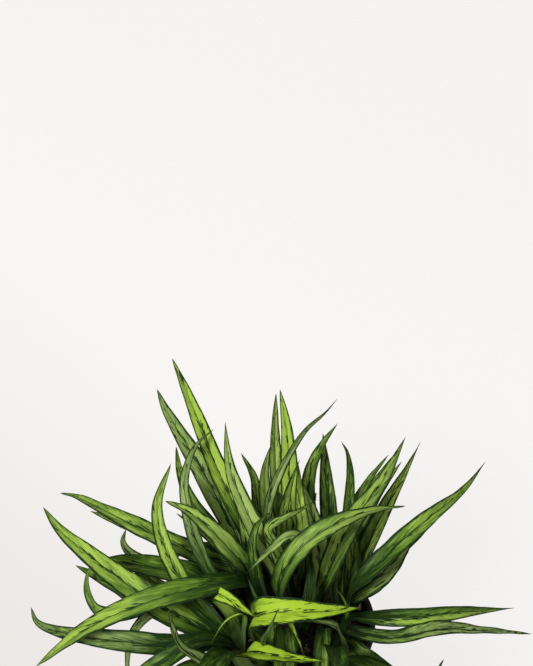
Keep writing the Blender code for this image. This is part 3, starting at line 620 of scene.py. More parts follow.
# %% Draw the midribs
ROOT_SINK = 4 * MM
ARCH = 0.055
TIP_DROOP = 1.3
UPRIGHT_START = 0.6
CURVE_STEPS = 14
GIVE_START = 0.04
GIVE_REACH = 0.4


def smooth_step(x):
    x = min(1.0, max(0.0, x))
    return x * x * (3 - 2 * x)


def spline_point(a, b, c, d, share):
    """A point between b and c on the centripetal Catmull-Rom curve through four points."""
    t1 = (b - a).length ** 0.5
    t2 = t1 + (c - b).length ** 0.5
    t3 = t2 + (d - c).length ** 0.5
    t = t1 + (t2 - t1) * share
    ab = a.lerp(b, t / t1)
    bc = b.lerp(c, (t - t1) / (t2 - t1))
    cd = c.lerp(d, (t - t2) / (t3 - t2))
    return ab.lerp(bc, t / t2).lerp(bc.lerp(cd, (t - t1) / (t3 - t1)), (t - t1) / (t2 - t1))


def smooth_line(knots):
    """A smooth line through the knots, which leaves the first one upwards."""
    start = knots[0] - UP * (knots[1] - knots[0]).length * UPRIGHT_START
    end = knots[-1] * 2 - knots[-2]
    chain = [start, *knots, end]
    line = []
    for four in zip(chain, chain[1:], chain[2:], chain[3:]):
        line += [spline_point(*four, step / CURVE_STEPS) for step in range(CURVE_STEPS)]
    return line + [knots[-1]]


def evenly(line, count):
    """Points at even distances along a line, and the line's length."""
    run = [0.0]
    for a, b in zip(line, line[1:]):
        run.append(run[-1] + (b - a).length)
    found = []
    k = 0
    for i in range(count):
        want = run[-1] * i / (count - 1)
        while k < len(line) - 2 and run[k + 1] < want:
            k += 1
        found.append(line[k].lerp(line[k + 1], (want - run[k]) / (run[k + 1] - run[k])))
    return found, run[-1]


def midrib(leaf, give, count):
    """The midrib from the cane's axis to the tip, arched, and bent by `give` metres over its outer part."""
    root = cane_point(leaf.stem, leaf.drop + ROOT_SINK)
    points, length = evenly(smooth_line([root, *leaf.knots]), count)
    for i, point in enumerate(points):
        t = i / (count - 1)
        bend = give * smooth_step((t - GIVE_START) / GIVE_REACH)
        if leaf.along_sight:
            arch = ARCH * length * (math.sin(math.pi * t) - TIP_DROOP * t**3)
            points[i] = point + (VIEWER - point).normalized() * (bend + arch)
        else:
            points[i] = point + UP * bend
    return points


tips = [midrib(leaf, 0, CURVE_STEPS)[-1].z for leaf in leaves]
print("before any bend the tips stand", round(min(tips) / MM), "to", round(max(tips) / MM), "mm high")

# %% [markdown]
# Follow the solid leaves
#
# In the solid model a leaf that would run into another is bent a little towards or away from the viewer, or
# up or down where it lies below the view, in steps of 4 mm. We needn't work that out again: of the same few
# bends, the right one is the one whose midrib runs inside the solid leaf, so we measure how far each lies
# from the solid's skin.

# %% Find each leaf's bend
GIVE_STEP = 4 * MM
GIVE_STEPS = 17
PROBES = 12


def skin_of(node):
    """A search tree of a solid's skin."""
    return BVHTree.FromObject(frame["nodes"][node], bpy.context.evaluated_depsgraph_get())


def gives():
    """The bends to try: none, then growing ones to either side."""
    return [(k + 1) // 2 * GIVE_STEP * (1 if k % 2 else -1) for k in range(GIVE_STEPS)]


def give_of(leaf, skin):
    """The bend whose midrib lies nearest to the solid's skin over the leaf's outer two thirds."""
    found = []
    for give in gives():
        probes = midrib(leaf, give, PROBES)[PROBES // 3:]
        found.append((sum(skin.find_nearest(probe)[3] for probe in probes) / len(probes), abs(give), give))
    return min(found)


skins = {name: skin_of("stem_" + name) for name in STEMS}
fits = [give_of(leaf, skins[leaf.stem]) for leaf in leaves]
bends = [fit[2] for fit in fits]
print(sum(1 for bend in bends if bend), "leaves bend")
print(f"the worst midrib is {max(fits)[0] / MM:.2f} mm off its solid")

# %% [markdown]
# The rings of a leaf
#
# At its foot a leaf is a sheath that hugs the cane. It narrows to a stalk, and widens into a blade that is
# broadest below its middle and drawn out to a tip. We walk along the midrib and note at each step which way
# the upper face looks, how wide each wing is and how far its edge is lifted. No two margins are alike, so
# each wing's width wanders by itself, and the edges wave out of step.

# %% Measure a leaf's rings
RINGS = 60
RINGS_OF_NARROW = 44
NARROW = 15 * MM
# How much of a leaf's length is stalk. Shares of the blade run from 0 at its base to 1 at its tip, and are
# negative on the stalk
STALK_SHARE = 0.12
# The widths of the stalk, the sheath and the tip, and where one passes into the next
STALK_WIDTH = 5.0 * MM
SHEATH_WIDTH = 11 * MM
SHEATH_END = -0.12
SHEATH_FADE = 0.09
TIP_WIDTH = 0.5 * MM
SLIM_START = 0.1
SLIM_REACH = 0.2
# Where the blade is full, how early it is broadest, where it is fully rolled and how steeply it folds
BLADE_START = 0.18
BROAD_BASE = 0.70
ROLL_SHARE = 0.35
BLADE_FOLD = math.radians(13)
# The long waves and the short ripples of its edges, and how far its margins wander
WAVES = 2.4
WAVE_HEIGHT = 1.1 * MM
WAVE_LAG = 2.2
FULL_WAVE_WIDTH = 20 * MM
RIPPLES = 7.3
RIPPLE_HEIGHT = 0.35 * MM
WOBBLE = 0.07
WOBBLES = 6.0
NOTCH = 0.035
NOTCHES = 19.0

Ring = namedtuple(
    "Ring", "centre side normal left_width right_width share blade sheath left_lift right_lift run"
)


def carried_frames(points, roll):
    """The side and the upper face's normal at each point, carried along the midrib without twisting."""
    heading = points[-1] - points[0]
    heading.z = 0
    side = heading.cross(UP).normalized()
    last = len(points) - 1
    found = []
    for i in range(len(points)):
        tangent = (points[min(i + 1, last)] - points[max(i - 1, 0)]).normalized()
        side = (side - tangent * side.dot(tangent)).normalized()
        turned_side = Matrix.Rotation(roll * smooth_step(i / last / ROLL_SHARE), 3, tangent) @ side
        found.append((turned_side, turned_side.cross(tangent)))
    return found


def blade_outline(t, taper):
    """The blade's width as a share of its greatest, from its base at 0 to its drawn-out tip at 1."""
    return math.sin(math.pi * t**BROAD_BASE) ** taper if 0 < t < 1 else 0.0


def wing_wobble(t, number, wing):
    """How far a wing's width wanders from its plain outline, as a share of it."""
    slow = noise.noise(Vector((t * WOBBLES, number, wing)))
    quick = noise.noise(Vector((t * NOTCHES, number, wing)))
    return WOBBLE * slow + NOTCH * quick


def plain_half_width(leaf, t, sheath):
    """Half the leaf's width before it wanders: the blade's, or the stalk's where that is wider."""
    slim = smooth_step((t - SLIM_START) / SLIM_REACH)
    stalk_width = STALK_WIDTH + (SHEATH_WIDTH - STALK_WIDTH) * sheath
    least_width = stalk_width * (1 - slim) + TIP_WIDTH * slim
    return max(leaf.width * blade_outline(t, STEMS[leaf.stem].taper), least_width) / 2


def edge_lifts(leaf, t, blade, half_width):
    """How far the left and the right edge stand above the midrib: by the fold, waves and ripples."""
    size = min(1.0, leaf.width / FULL_WAVE_WIDTH) * blade
    wave = WAVE_HEIGHT * size * (1 - max(t, 0) ** 2)
    ripple = RIPPLE_HEIGHT * size * math.sin(2 * math.pi * RIPPLES * t + leaf.number)
    phase = 2 * math.pi * WAVES * t + leaf.width / MM
    fold = half_width * math.tan(BLADE_FOLD) * blade
    return fold + wave * math.sin(phase) + ripple, fold + wave * math.sin(phase + WAVE_LAG) - ripple


def rings_of(leaf, points):
    """The rings of a leaf's skin, one for each point of its midrib."""
    last = len(points) - 1
    found = []
    run = 0.0
    for i, (point, (side, normal)) in enumerate(zip(points, carried_frames(points, leaf.roll))):
        run += (point - points[max(i - 1, 0)]).length
        t = (i / last - STALK_SHARE) / (1 - STALK_SHARE)
        blade = smooth_step(t / BLADE_START)
        sheath = 1 - smooth_step((t - SHEATH_END) / SHEATH_FADE)
        half_width = plain_half_width(leaf, t, sheath)
        widths = [half_width * (1 + wing_wobble(t, leaf.number, wing) * blade) for wing in (1, 2)]
        lifts = edge_lifts(leaf, t, blade, half_width)
        found.append(Ring(point, side, normal, *widths, t, blade, sheath, *lifts, run))
    return found


print(RINGS, "rings along a broad leaf and", RINGS_OF_NARROW, "along a narrow one")

# %% [markdown]
# The skin of a leaf
#
# Across a ring the stalk is round beneath and grooved above, and the blade is two wings that rise from a
# sunken midrib, with a rib beneath and thin edges. One formula gives the whole skin, and its parts fade into
# one another along the leaf.

# %% Shape a leaf's skin
HALF_STEPS = 14
AROUND = 2 * HALF_STEPS + 2
MIDRIB_CROWDING = 1.35
# How deep the stalk, the sheath, the blade and its rib are, and how high the wings rise
STALK_DEPTH = 3.4 * MM
STALK_GROOVE = 0.7 * MM
SHEATH_HUG = 2.5 * MM
SHEATH_THINNING = 0.45
BLADE_DEPTH = 0.42 * MM
EDGE_DEPTH = 0.22 * MM
RIB_DEPTH = 1.5 * MM
RIB_SPREAD = 0.09
RIB_FADE = 1.2
RIB_GROOVE = 0.35 * MM
GROOVE_SPREAD = 0.22
WING_CROWN = 0.05
WING_CURL = 1.2


def across_share(j):
    """How far step j lies from the midrib, from -1 at the left edge to 1 at the right, and if it is beneath.

    The steps run over the upper face, and back beneath. They are closest at the midrib."""
    beneath = j > HALF_STEPS
    x = (AROUND - 1 - j if beneath else j) / HALF_STEPS * 2 - 1
    return math.copysign(abs(x) ** MIDRIB_CROWDING, x), beneath


def bell(distance, spread):
    """A smooth hump that is 1 in the middle."""
    return math.exp(-((distance / spread) ** 2))


def skin_point(ring, j):
    """The point of a ring at step j."""
    across, beneath = across_share(j)
    blade = ring.blade
    reach = abs(across)
    lift = ring.right_lift if across > 0 else ring.left_lift
    wing_width = ring.right_width if across > 0 else ring.left_width
    crown = WING_CROWN * wing_width * math.sin(math.pi * reach)
    hug = SHEATH_HUG * ring.sheath * reach**2
    groove = (STALK_GROOVE * (1 - blade) + RIB_GROOVE * blade) * bell(reach, GROOVE_SPREAD)
    height = (lift * reach**WING_CURL + crown) * blade + hug - groove
    if beneath:
        round_depth = STALK_DEPTH * (1 - SHEATH_THINNING * ring.sheath) * math.sqrt(1 - reach**2)
        rib = RIB_DEPTH * (1 - max(ring.share, 0)) ** RIB_FADE * bell(reach, RIB_SPREAD)
        thin = EDGE_DEPTH + (BLADE_DEPTH - EDGE_DEPTH) * (1 - reach**2)
        height -= (round_depth + EDGE_DEPTH) * (1 - blade) + (thin + rib) * blade
    return ring.centre + ring.side * across * wing_width + ring.normal * height


print(AROUND, "steps round each leaf")

# %% [markdown]
# The leaf's markings
#
# The leaves are dark at the edge and along the midrib, and light between. Dark flecks run forwards from the
# midrib beside the side veins, in loose clusters. To draw them, every point carries its place on the leaf
# in millimetres. Tilting those two numbers gives one that runs along a vein and one that crosses it, and a
# noise that is stretched along the first makes strokes. A threshold turns strokes into crisp flecks. The
# markings are a node group with named inputs and outputs, so the finish that uses them stays short.

# %% Make the markings group
Marks = namedtuple("Marks", "length width detail")
# How long and how wide marks of each kind are, in mm, and how finely they are broken up. Flecks, streaks and
# mottles run along the veins, and patches and clouds along the leaf
FLECKS = Marks(11.0, 1.2, 1.5)
STREAKS = Marks(30.0, 0.55, 2.0)
MOTTLES = Marks(9.0, 1.9, 2.0)
PATCHES = Marks(30.0, 6.0, 1.0)
CLOUDS = Marks(34.0, 6.5, 2.0)
VEIN_ANGLE = math.radians(6)
# These two give every leaf, and each of its wings, a noise of its own
SEED_SPREAD = 91.7
WING_SPREAD = 5.3
# A wing this wide, in mm, has its dark bands in full
FULL_BREADTH = 8.0
# Where flecks crowd: so many mm from the midrib or the edge, or so far up the blade
RIB_ZONE = (3.8, 0.3)
EDGE_ZONE = (3.6, 0.3)
BASE_ZONE = (0.55, 0.0)
# How much patches, zones and the leaf's own tone add to the flecks, and where flecks begin
PATCH_WEIGHT = 0.55
RIB_WEIGHT = 0.22
EDGE_WEIGHT = 0.22
BASE_WEIGHT = 0.08
TONE_WEIGHT = 0.14
FLECK_BAND = (1.02, 1.11)
# The dark margin's waves and how far it reaches in, and the midrib's dark line, in mm
MARGIN_WAVE = 7.0
MARGIN_SWING = 2.8
MARGIN_LEAST = -0.5
MARGIN_BAND = (1.3, 0.0)
RIB_BAND = (0.8, 0.3)


def leaf_markings():
    """A group: the leaf's dark markings and its fine streaks, from a point's place on the leaf."""
    group, wires, given = new_group(
        "leaf_markings",
        dict.fromkeys(("Along", "Across", "Edge", "Share", "Seed", "Flecks", "Thicker", "Rib"), "Float"),
        dict.fromkeys(("Dark", "Streaks", "Cloud", "Mottle"), "Float"),
    )
    along, edge = given["Along"], given["Edge"]
    out = wires.math("ABSOLUTE", given["Across"])
    side = wires.math("SIGN", given["Across"])
    wing = wires.plus(wires.times(given["Seed"], SEED_SPREAD), wires.times(side, WING_SPREAD))
    cos, sin = math.cos(VEIN_ANGLE), math.sin(VEIN_ANGLE)
    forward = wires.plus(wires.times(along, cos), wires.times(out, sin))
    aside = wires.minus(wires.times(out, cos), wires.times(along, sin))

    def drawn(x, y, marks):
        """Noise as long and as wide as marks of a kind, different on every wing."""
        spot = wires.place(wires.math("DIVIDE", x, marks.length), wires.math("DIVIDE", y, marks.width), wing)
        return wires.noise(spot, detail=marks.detail)

    breadth = wires.math("DIVIDE", wires.plus(out, edge), FULL_BREADTH, clamp=True)
    near_rib = wires.times(wires.step(out, *RIB_ZONE), breadth)
    near_edge = wires.times(wires.step(edge, *EDGE_ZONE), breadth)
    near_base = wires.step(given["Share"], *BASE_ZONE)
    patches = wires.times(drawn(along, out, PATCHES), PATCH_WEIGHT)
    level = wires.plus(drawn(forward, aside, FLECKS), patches)
    level = wires.plus(level, wires.times(near_rib, RIB_WEIGHT))
    level = wires.plus(level, wires.times(near_edge, EDGE_WEIGHT))
    level = wires.plus(level, wires.times(near_base, BASE_WEIGHT))
    level = wires.plus(level, wires.times(given["Flecks"], TONE_WEIGHT))
    flecks = wires.step(level, *FLECK_BAND)

    margin_noise = wires.noise(wires.place(wires.math("DIVIDE", along, MARGIN_WAVE), wing, 0.0))
    margin = wires.scaled(margin_noise, MARGIN_SWING, MARGIN_LEAST)
    margin = wires.plus(margin, wires.times(side, given["Thicker"]))
    rim = wires.step(wires.minus(edge, wires.times(margin, breadth)), *MARGIN_BAND)
    rib = wires.times(wires.times(wires.step(out, *RIB_BAND), breadth), given["Rib"])
    wires.node("NodeGroupOutput", {
        "Dark": wires.math("MAXIMUM", wires.math("MAXIMUM", flecks, rim), rib),
        "Streaks": drawn(forward, aside, STREAKS),
        "Cloud": drawn(along, out, CLOUDS),
        "Mottle": drawn(forward, aside, MOTTLES),
    })
    return group


markings = leaf_markings()
print("markings:", len(markings.nodes), "nodes")

# %% [markdown]
# How light a blade is
#
# Each leaf carries its own tone: how light it is, how lime, how silvery and how flecked. Around that tone
# clouds, streaks and mottles vary the blade. One wing may be lighter than the other, a painted light and
# shade. A blade grows darker towards its base, partly its own colour and partly painted shade, and towards
# its edge.

# %% Wire up the blade's lightness
# What every point of a leaf carries, by the layer that holds it
LEAF_LAYERS = {
    "leaf_place": ("along", "across", "edge"),
    "leaf_share": ("share", "beneath", "blade"),
    "leaf_tone": ("light", "lime", "silver"),
    "leaf_draw": ("seed", "flecks", "thicker"),
    "leaf_shade": ("tilt", "fade"),
}
CLOUD_CONTRAST = 1.1
MOTTLE_CONTRAST = 1.3
# The darkening at the base, partly the leaf's own colour and partly painted shade, and at the edge: where
# each lies, and how dark the edge's is
BASE_SHADE_ZONE = (0.62, 0.0)
EDGE_SHADE_ZONE = (4.2, 0.4)
EDGE_SHADE = 0.24
# How much lighter the tip is than the base, and the share at which a blade has its own lightness
TIP_LIGHT = 0.25
EVEN_SHARE = 0.6
# Where the left wing's lightness passes into the right wing's, in mm from the midrib
WING_BORDER = (-0.5, 0.5)


def leaf_point(wires):
    """What a point of a leaf carries, by name."""
    return SimpleNamespace(**{
        name: part
        for layer, names in LEAF_LAYERS.items()
        for name, part in zip(names, wires.attribute(layer))
    })


def blade_level(wires, point, marks, streaks):
    """How light the blade is, from 0 for deep green to 1 for bright green."""
    # The tilt paints one wing lighter and the other darker, a painted light and shade
    rightness = wires.scaled(wires.step(point.across, *WING_BORDER), 2.0, -1.0)
    level = wires.scaled(rightness, point.tilt, point.light)
    level = wires.scaled(wires.minus(point.share, EVEN_SHARE), TIP_LIGHT, level)
    mottle = wires.times(wires.minus(marks["Mottle"], 0.5), point.flecks)
    level = wires.scaled(mottle, MOTTLE_CONTRAST, level)
    cloud = wires.times(wires.minus(marks["Cloud"], 0.5), CLOUD_CONTRAST)
    # The base's darkening is partly the leaf's own colour and partly a painted shade
    base_shade = wires.times(wires.step(point.share, *BASE_SHADE_ZONE), point.fade)
    edge_shade = wires.times(wires.step(point.edge, *EDGE_SHADE_ZONE), EDGE_SHADE)
    level = wires.plus(wires.plus(level, cloud), streaks)
    return wires.minus(level, wires.plus(base_shade, edge_shade), clamp=True)


print("a leaf's layers:", ", ".join(LEAF_LAYERS))

# %% [markdown]
# The leaf's colours
#
# The lightness picks a colour between a deep and a bright green. Young leaves in the middle are lime, and
# some of those that arch over are silvery towards the tip, partly their own silver and partly a painted
# sheen. The underside is paler and duller, with the same markings showing through faintly, and the stalk is
# dark green, partly a painted shade, with a pale foot. Little light comes into the crown, so every leaf gets
# a painted shade towards it.

# %% Mix the leaf's colours
DEEP_GREEN = (0.014, 0.042, 0.004)
MIDDLE_GREEN = (0.118, 0.232, 0.022)
BRIGHT_GREEN = (0.42, 0.62, 0.080)
LIME_GREEN = (0.46, 0.72, 0.016)
SILVER_AND_SHEEN_GREEN = (0.39, 0.52, 0.20)
MARK_GREEN = (0.016, 0.046, 0.010)
PAINTED_SHADE_GREEN = (0.006, 0.015, 0.003)
# The stalk's dark green is partly its own colour and partly a painted shade
STALK_GREEN_AND_SHADE = (0.030, 0.064, 0.010)
STALK_BASE = (0.20, 0.26, 0.09)
UNDER_GREEN = (0.130, 0.225, 0.060)
# Where the silver, partly the leaf's own and partly a painted sheen, comes in, where the stalk's pale foot
# ends and where the stalk passes into the blade
SILVER_AND_SHEEN_ZONE = (-0.1, 0.6)
STALK_BASE_ZONE = (-0.13, -0.08)
BLADE_ZONE = (0.1, 0.8)
# How much of the blade's colour shows beneath, and how strong the dark markings are beneath and on the stalk
UNDER_LAMINA = 0.35
UNDER_MARKS = 0.55
STALK_MARKS = 0.5
# Where the painted shade of the crown lies, how dark it is in its core, and how a lime blade changes that
CROWN_MIDDLE = (-8 * MM, -22 * MM, RIM_HEIGHT + 5 * MM)
CROWN_REACH = 120 * MM
CROWN_CORE = 45 * MM
CROWN_SHADE = 0.72
LIME_SPARED = -1.3


def lamina_colour(wires, point, level):
    """The blade's colour between its dark markings."""
    colour = wires.paint(wires.times(level, 2.0, clamp=True), DEEP_GREEN, MIDDLE_GREEN)
    colour = wires.paint(wires.scaled(level, 2.0, -1.0, clamp=True), colour, BRIGHT_GREEN)
    colour = wires.paint(wires.times(point.lime, level), colour, LIME_GREEN)
    # The silver is partly the leaf's own colour and partly a painted sheen
    silver = wires.times(point.silver, wires.step(point.share, *SILVER_AND_SHEEN_ZONE))
    return wires.paint(silver, colour, wires.paint(level, DEEP_GREEN, SILVER_AND_SHEEN_GREEN))


def marked_colour(wires, point, level, dark):
    """The blade above and beneath, and the stalk, with their dark markings."""
    lamina = lamina_colour(wires, point, level)
    above = wires.paint(dark, lamina, MARK_GREEN)
    under = wires.paint(wires.times(level, UNDER_LAMINA), UNDER_GREEN, lamina)
    under = wires.paint(wires.times(dark, UNDER_MARKS), under, MARK_GREEN)
    stalk = wires.paint(wires.step(point.share, *STALK_BASE_ZONE), STALK_BASE, STALK_GREEN_AND_SHADE)
    stalk = wires.paint(wires.times(dark, STALK_MARKS), stalk, MARK_GREEN)
    skin = wires.paint(point.beneath, above, under)
    return wires.paint(wires.step(point.blade, *BLADE_ZONE), stalk, skin)


def painted_crown_shade(wires, point):
    """How much of a point's colour the painted shade of the crown takes."""
    middle = wires.node("ShaderNodeVectorMath", {0: wires.objects(), 1: CROWN_MIDDLE}, operation="DISTANCE")
    inward = wires.step(middle.outputs["Value"], CROWN_REACH, CROWN_CORE)
    spared = wires.times(point.lime, point.blade)
    return wires.times(inward, wires.scaled(spared, LIME_SPARED, CROWN_SHADE, clamp=True))


print("the crown's shade reaches", round(CROWN_REACH / MM), "mm out")

# %% [markdown]
# The leaf's finish
#
# One material serves all the leaves, because all that differs from leaf to leaf is in the mesh. A real leaf
# has a soft waxy gloss, so the roughness is middling and the streaks vary it. The same streaks and clouds
# give the relief of the fine veins.

# %% Make the leaf's finish
LEAF_SPECULAR = 0.09
# How dark the midrib is on a plain leaf, and how a lime one changes that
PLAIN_RIB = 0.85
LIME_RIB = -1.1
STREAK_CONTRAST = 1.25
GLOSS_ABOVE = 0.44
GLOSS_BENEATH = 0.60
GLOSS_STREAKS = 0.22
CLOUD_RELIEF = 1.5
LEAF_BUMP = (0.25 * MM, 0.6)


def placed_markings(wires, point):
    """The markings group, placed in a material."""
    inputs = {
        "Along": point.along, "Across": point.across, "Edge": point.edge, "Share": point.share,
        "Seed": point.seed, "Flecks": point.flecks, "Thicker": point.thicker,
        "Rib": wires.scaled(point.lime, LIME_RIB, PLAIN_RIB),
    }
    return wires.node("ShaderNodeGroup", inputs, node_tree=markings).outputs


def leaf_finish():
    finish, shader, wires = new_material("leaf_skin", BRIGHT_GREEN)
    shader.inputs["Specular IOR Level"].default_value = LEAF_SPECULAR
    point = leaf_point(wires)
    marks = placed_markings(wires, point)
    streaks = wires.times(wires.minus(marks["Streaks"], 0.5), STREAK_CONTRAST)
    level = blade_level(wires, point, marks, streaks)
    colour = marked_colour(wires, point, level, marks["Dark"])
    # Towards the crown the colour takes a painted shade
    colour = wires.paint(painted_crown_shade(wires, point), colour, PAINTED_SHADE_GREEN)
    gloss = wires.blend(point.beneath, GLOSS_ABOVE, GLOSS_BENEATH)
    gloss = wires.plus(gloss, wires.times(streaks, GLOSS_STREAKS))
    height = wires.plus(marks["Streaks"], wires.times(marks["Cloud"], CLOUD_RELIEF))
    join(wires, shader, Base_Color=colour, Roughness=gloss, Normal=wires.bump(height, *LEAF_BUMP))
    return finish


leaf_skin = leaf_finish()
print("leaf finish:", len(leaf_skin.node_tree.nodes), "nodes")

# %% [markdown]
# The tones of the leaves
#
# The leaves run from near-black green to lime and silver. A dozen tones are named from the photograph,
# and a table of touches sets single leaves nearer to it. The leaves that have no touch differ from their
# tone a little, at random.

# %% List the tones
Tone = namedtuple("Tone", "light lime silver flecks")
# The sunlit tone is lighter as a painted light, and the deep tone is darker as a painted shade
TONES = {
    "sunlit": Tone(1.06, 0.06, 0.00, 0.40),
    "bright": Tone(0.86, 0.06, 0.08, 0.40),
    "light": Tone(1.00, 0.02, 0.50, 0.36),
    "fresh": Tone(0.82, 0.02, 0.25, 0.40),
    "mid": Tone(0.74, 0.02, 0.10, 0.48),
    "soft": Tone(0.58, 0.00, 0.12, 0.60),
    "dark": Tone(0.38, 0.00, 0.00, 0.80),
    "deep": Tone(0.14, 0.00, 0.00, 0.60),
    "lime": Tone(1.18, 0.60, 0.00, 0.62),
    "pale": Tone(0.80, 0.00, 0.70, 0.35),
    "grey": Tone(0.64, 0.00, 0.55, 0.55),
    "waved": Tone(0.80, 0.00, 0.65, 1.00),
}
# For leaves that differ from their tone, by number: how much lighter they are, partly their own tone and
# partly painted light and shade; how much lighter still the right wing is, with the left one as much
# darker, a painted light and shade; and how dark the base is, partly its own colour and partly painted shade
TOUCHES = {
    0: (-0.04, 0.00, 0.75), 1: (-0.04, 0.00, 1.50), 2: (-0.04, 0.05, 0.55), 3: (-0.04, 0.00, 0.30),
    4: (0.05, 0.05, 0.90), 5: (0.02, 0.05, 1.15), 6: (0.14, 0.06, 0.25), 7: (-0.02, 0.00, 0.45),
    8: (-0.02, -0.04, 0.60), 9: (-0.03, -0.12, 0.28), 10: (0.05, 0.18, 0.92), 11: (0.12, 0.03, 0.00),
    12: (-0.08, -0.04, 1.05), 13: (0.18, -0.06, 0.90), 14: (0.08, 0.22, 0.33), 15: (0.14, 0.18, 0.45),
    16: (0.00, 0.00, 0.05), 17: (0.08, 0.00, 0.20), 18: (0.26, 0.16, 0.55), 19: (-0.04, 0.06, 0.90),
    20: (0.14, -0.10, 0.50), 21: (0.06, 0.05, 0.95), 22: (0.05, 0.08, 0.60), 23: (0.06, -0.06, 0.35),
    24: (0.14, -0.14, 0.28), 25: (0.08, 0.00, 0.50), 26: (0.06, 0.12, 0.85), 27: (0.00, -0.10, 0.20),
    28: (-0.11, 0.00, 0.45), 29: (0.20, -0.34, 0.50), 30: (0.04, -0.10, 1.60), 31: (0.09, -0.06, 0.78),
    32: (0.34, 0.00, 0.50), 33: (0.16, 0.12, 0.50), 35: (0.42, 0.00, 0.05), 36: (0.10, -0.04, 0.50),
    37: (0.25, 0.08, 0.40), 38: (-0.04, 0.00, 0.40), 39: (0.22, 0.00, 0.50), 40: (0.08, 0.00, 0.50),
    41: (-0.12, 0.00, 0.60), 43: (0.06, 0.00, 0.60), 44: (0.28, 0.00, 0.60), 45: (-0.04, 0.12, 0.62),
    49: (0.10, 0.00, 0.30), 52: (-0.32, 0.00, 1.50), 53: (-0.30, 0.00, 3.00), 54: (0.04, -0.14, 0.50),
    55: (-0.16, 0.00, 0.90), 56: (0.02, 0.00, 0.40), 57: (-0.08, 0.00, 0.60), 59: (0.12, 0.00, 0.50),
    62: (-0.15, 0.00, 0.62), 72: (-0.08, 0.00, 0.60), 77: (0.08, 0.00, 0.40), 78: (-0.05, 0.10, 0.60),
}

print(len(TONES), "tones, with touches on", len(TOUCHES), "leaves")

# %% [markdown]
# Make the leaves
#
# Now each row becomes a piece: its midrib gives rings, the rings give the skin, and each point carries its
# place and its leaf's tone. Every leaf stands for the solid of its cane, together with the cane and its
# other leaves. The broader of the two dark margins is drawn at random.

# %% Make the leaves
LEAF_SEED = 7
LIGHT_SPREAD = 0.03
# How much a leaf's lightness and its wings' painted light vary at random, how dark its base is, partly a
# painted shade, and how much broader one margin may be
TILT_SPREAD = 0.05
FADE = 0.62
THICKER = 0.7


def make_leaf(leaf, give, draw):
    count = RINGS_OF_NARROW if leaf.width < NARROW else RINGS
    rings = rings_of(leaf, midrib(leaf, give, count + 1))
    tone = TONES[leaf.tone]
    seed = draw.random()
    usual = (draw.uniform(-LIGHT_SPREAD, LIGHT_SPREAD), draw.uniform(-TILT_SPREAD, TILT_SPREAD), FADE)
    lift, tilt, fade = TOUCHES.get(leaf.number, usual)
    light = tone.light + lift
    thicker = draw.uniform(-THICKER, THICKER)

    def place(i, j):
        return rings[i].centre if i in (0, count) else skin_point(rings[i], j)

    def on_leaf(i, j):
        across = across_share(j)[0]
        wing_width = (rings[i].right_width if across > 0 else rings[i].left_width) / MM
        return Vector((rings[i].run / MM, across * wing_width, (1 - abs(across)) * wing_width))

    vectors = {
        "leaf_place": on_leaf,
        "leaf_share": lambda i, j: Vector((rings[i].share, across_share(j)[1], rings[i].blade)),
        "leaf_tone": lambda i, j: Vector((light, tone.lime, tone.silver)),
        "leaf_draw": lambda i, j: Vector((seed, tone.flecks, thicker)),
        "leaf_shade": lambda i, j: Vector((tilt, fade, 0)),
    }
    shape = wrapped_grid(count, AROUND, place, vectors)
    name = f"leaf_{leaf.number:02d}_{leaf.stem}"
    return finish_piece(name, shape, leaf_skin, ["stem_" + leaf.stem])


leaf_draw = random.Random(LEAF_SEED)
leaf_pieces = [make_leaf(leaf, bend, leaf_draw) for leaf, bend in zip(leaves, bends)]
print(len(leaf_pieces), "leaves with", sum(len(piece.data.polygons) for piece in leaf_pieces), "faces")

# %% [markdown]
# The canes
#
# A cane is a green-brown stalk as thick as a finger, with a ring wherever an old leaf fell. It is mostly
# hidden by the sheaths of the leaves. A row of rings whose radius swells at each scar makes it, and the mesh
# carries how high each point stands, so that the colour can run from bark to green.

# %% Make the canes
CANE_SUNK = 12 * MM
CANE_RINGS = 40
CANE_AROUND = 24
SCAR_SPACING = 5.5 * MM
SCAR_SWELL = 0.09
SCAR_SHARPNESS = 10.0
# How slim a cane is at its top, and the share of its height from which it slims
CANE_TIP = 0.62
TIP_START = 0.6
TIP_REACH = 0.4
BARK_BROWN = (0.105, 0.082, 0.040)
CANE_GREEN = (0.105, 0.155, 0.045)
SCAR_TAN = (0.27, 0.22, 0.12)
# The bark's grain and its green blotches, and how much green, scars and grain show
BARK_STRETCH = (1, 1, 0.3)
BARK_SCALE = 900.0
BLOTCH_SCALE = 220.0
BLOTCH_WEIGHT = 0.8
GREEN_ZONE = (0.55, 1.15)
SCAR_SHARE = 0.75
GRAIN_SHARE = 0.5
BARK_BUMP = (0.3 * MM, 0.7)


def cane_finish():
    finish, shader, wires = new_material("cane_bark", CANE_GREEN, roughness=0.6)
    height, scar, _ = wires.attribute("cane_place")
    grain = wires.noise(wires.stretch(wires.objects(), BARK_STRETCH), scale=BARK_SCALE, detail=4.0)
    blotches = wires.noise(wires.objects(), scale=BLOTCH_SCALE, detail=3.0)
    greenness = wires.plus(height, wires.times(blotches, BLOTCH_WEIGHT))
    bark = wires.paint(wires.step(greenness, *GREEN_ZONE), BARK_BROWN, CANE_GREEN)
    bark = wires.paint(wires.times(scar, SCAR_SHARE), bark, SCAR_TAN)
    bark = wires.paint(wires.times(grain, GRAIN_SHARE), bark, BARK_BROWN, "MULTIPLY")
    join(wires, shader, Base_Color=bark, Normal=wires.bump(grain, *BARK_BUMP))
    return finish


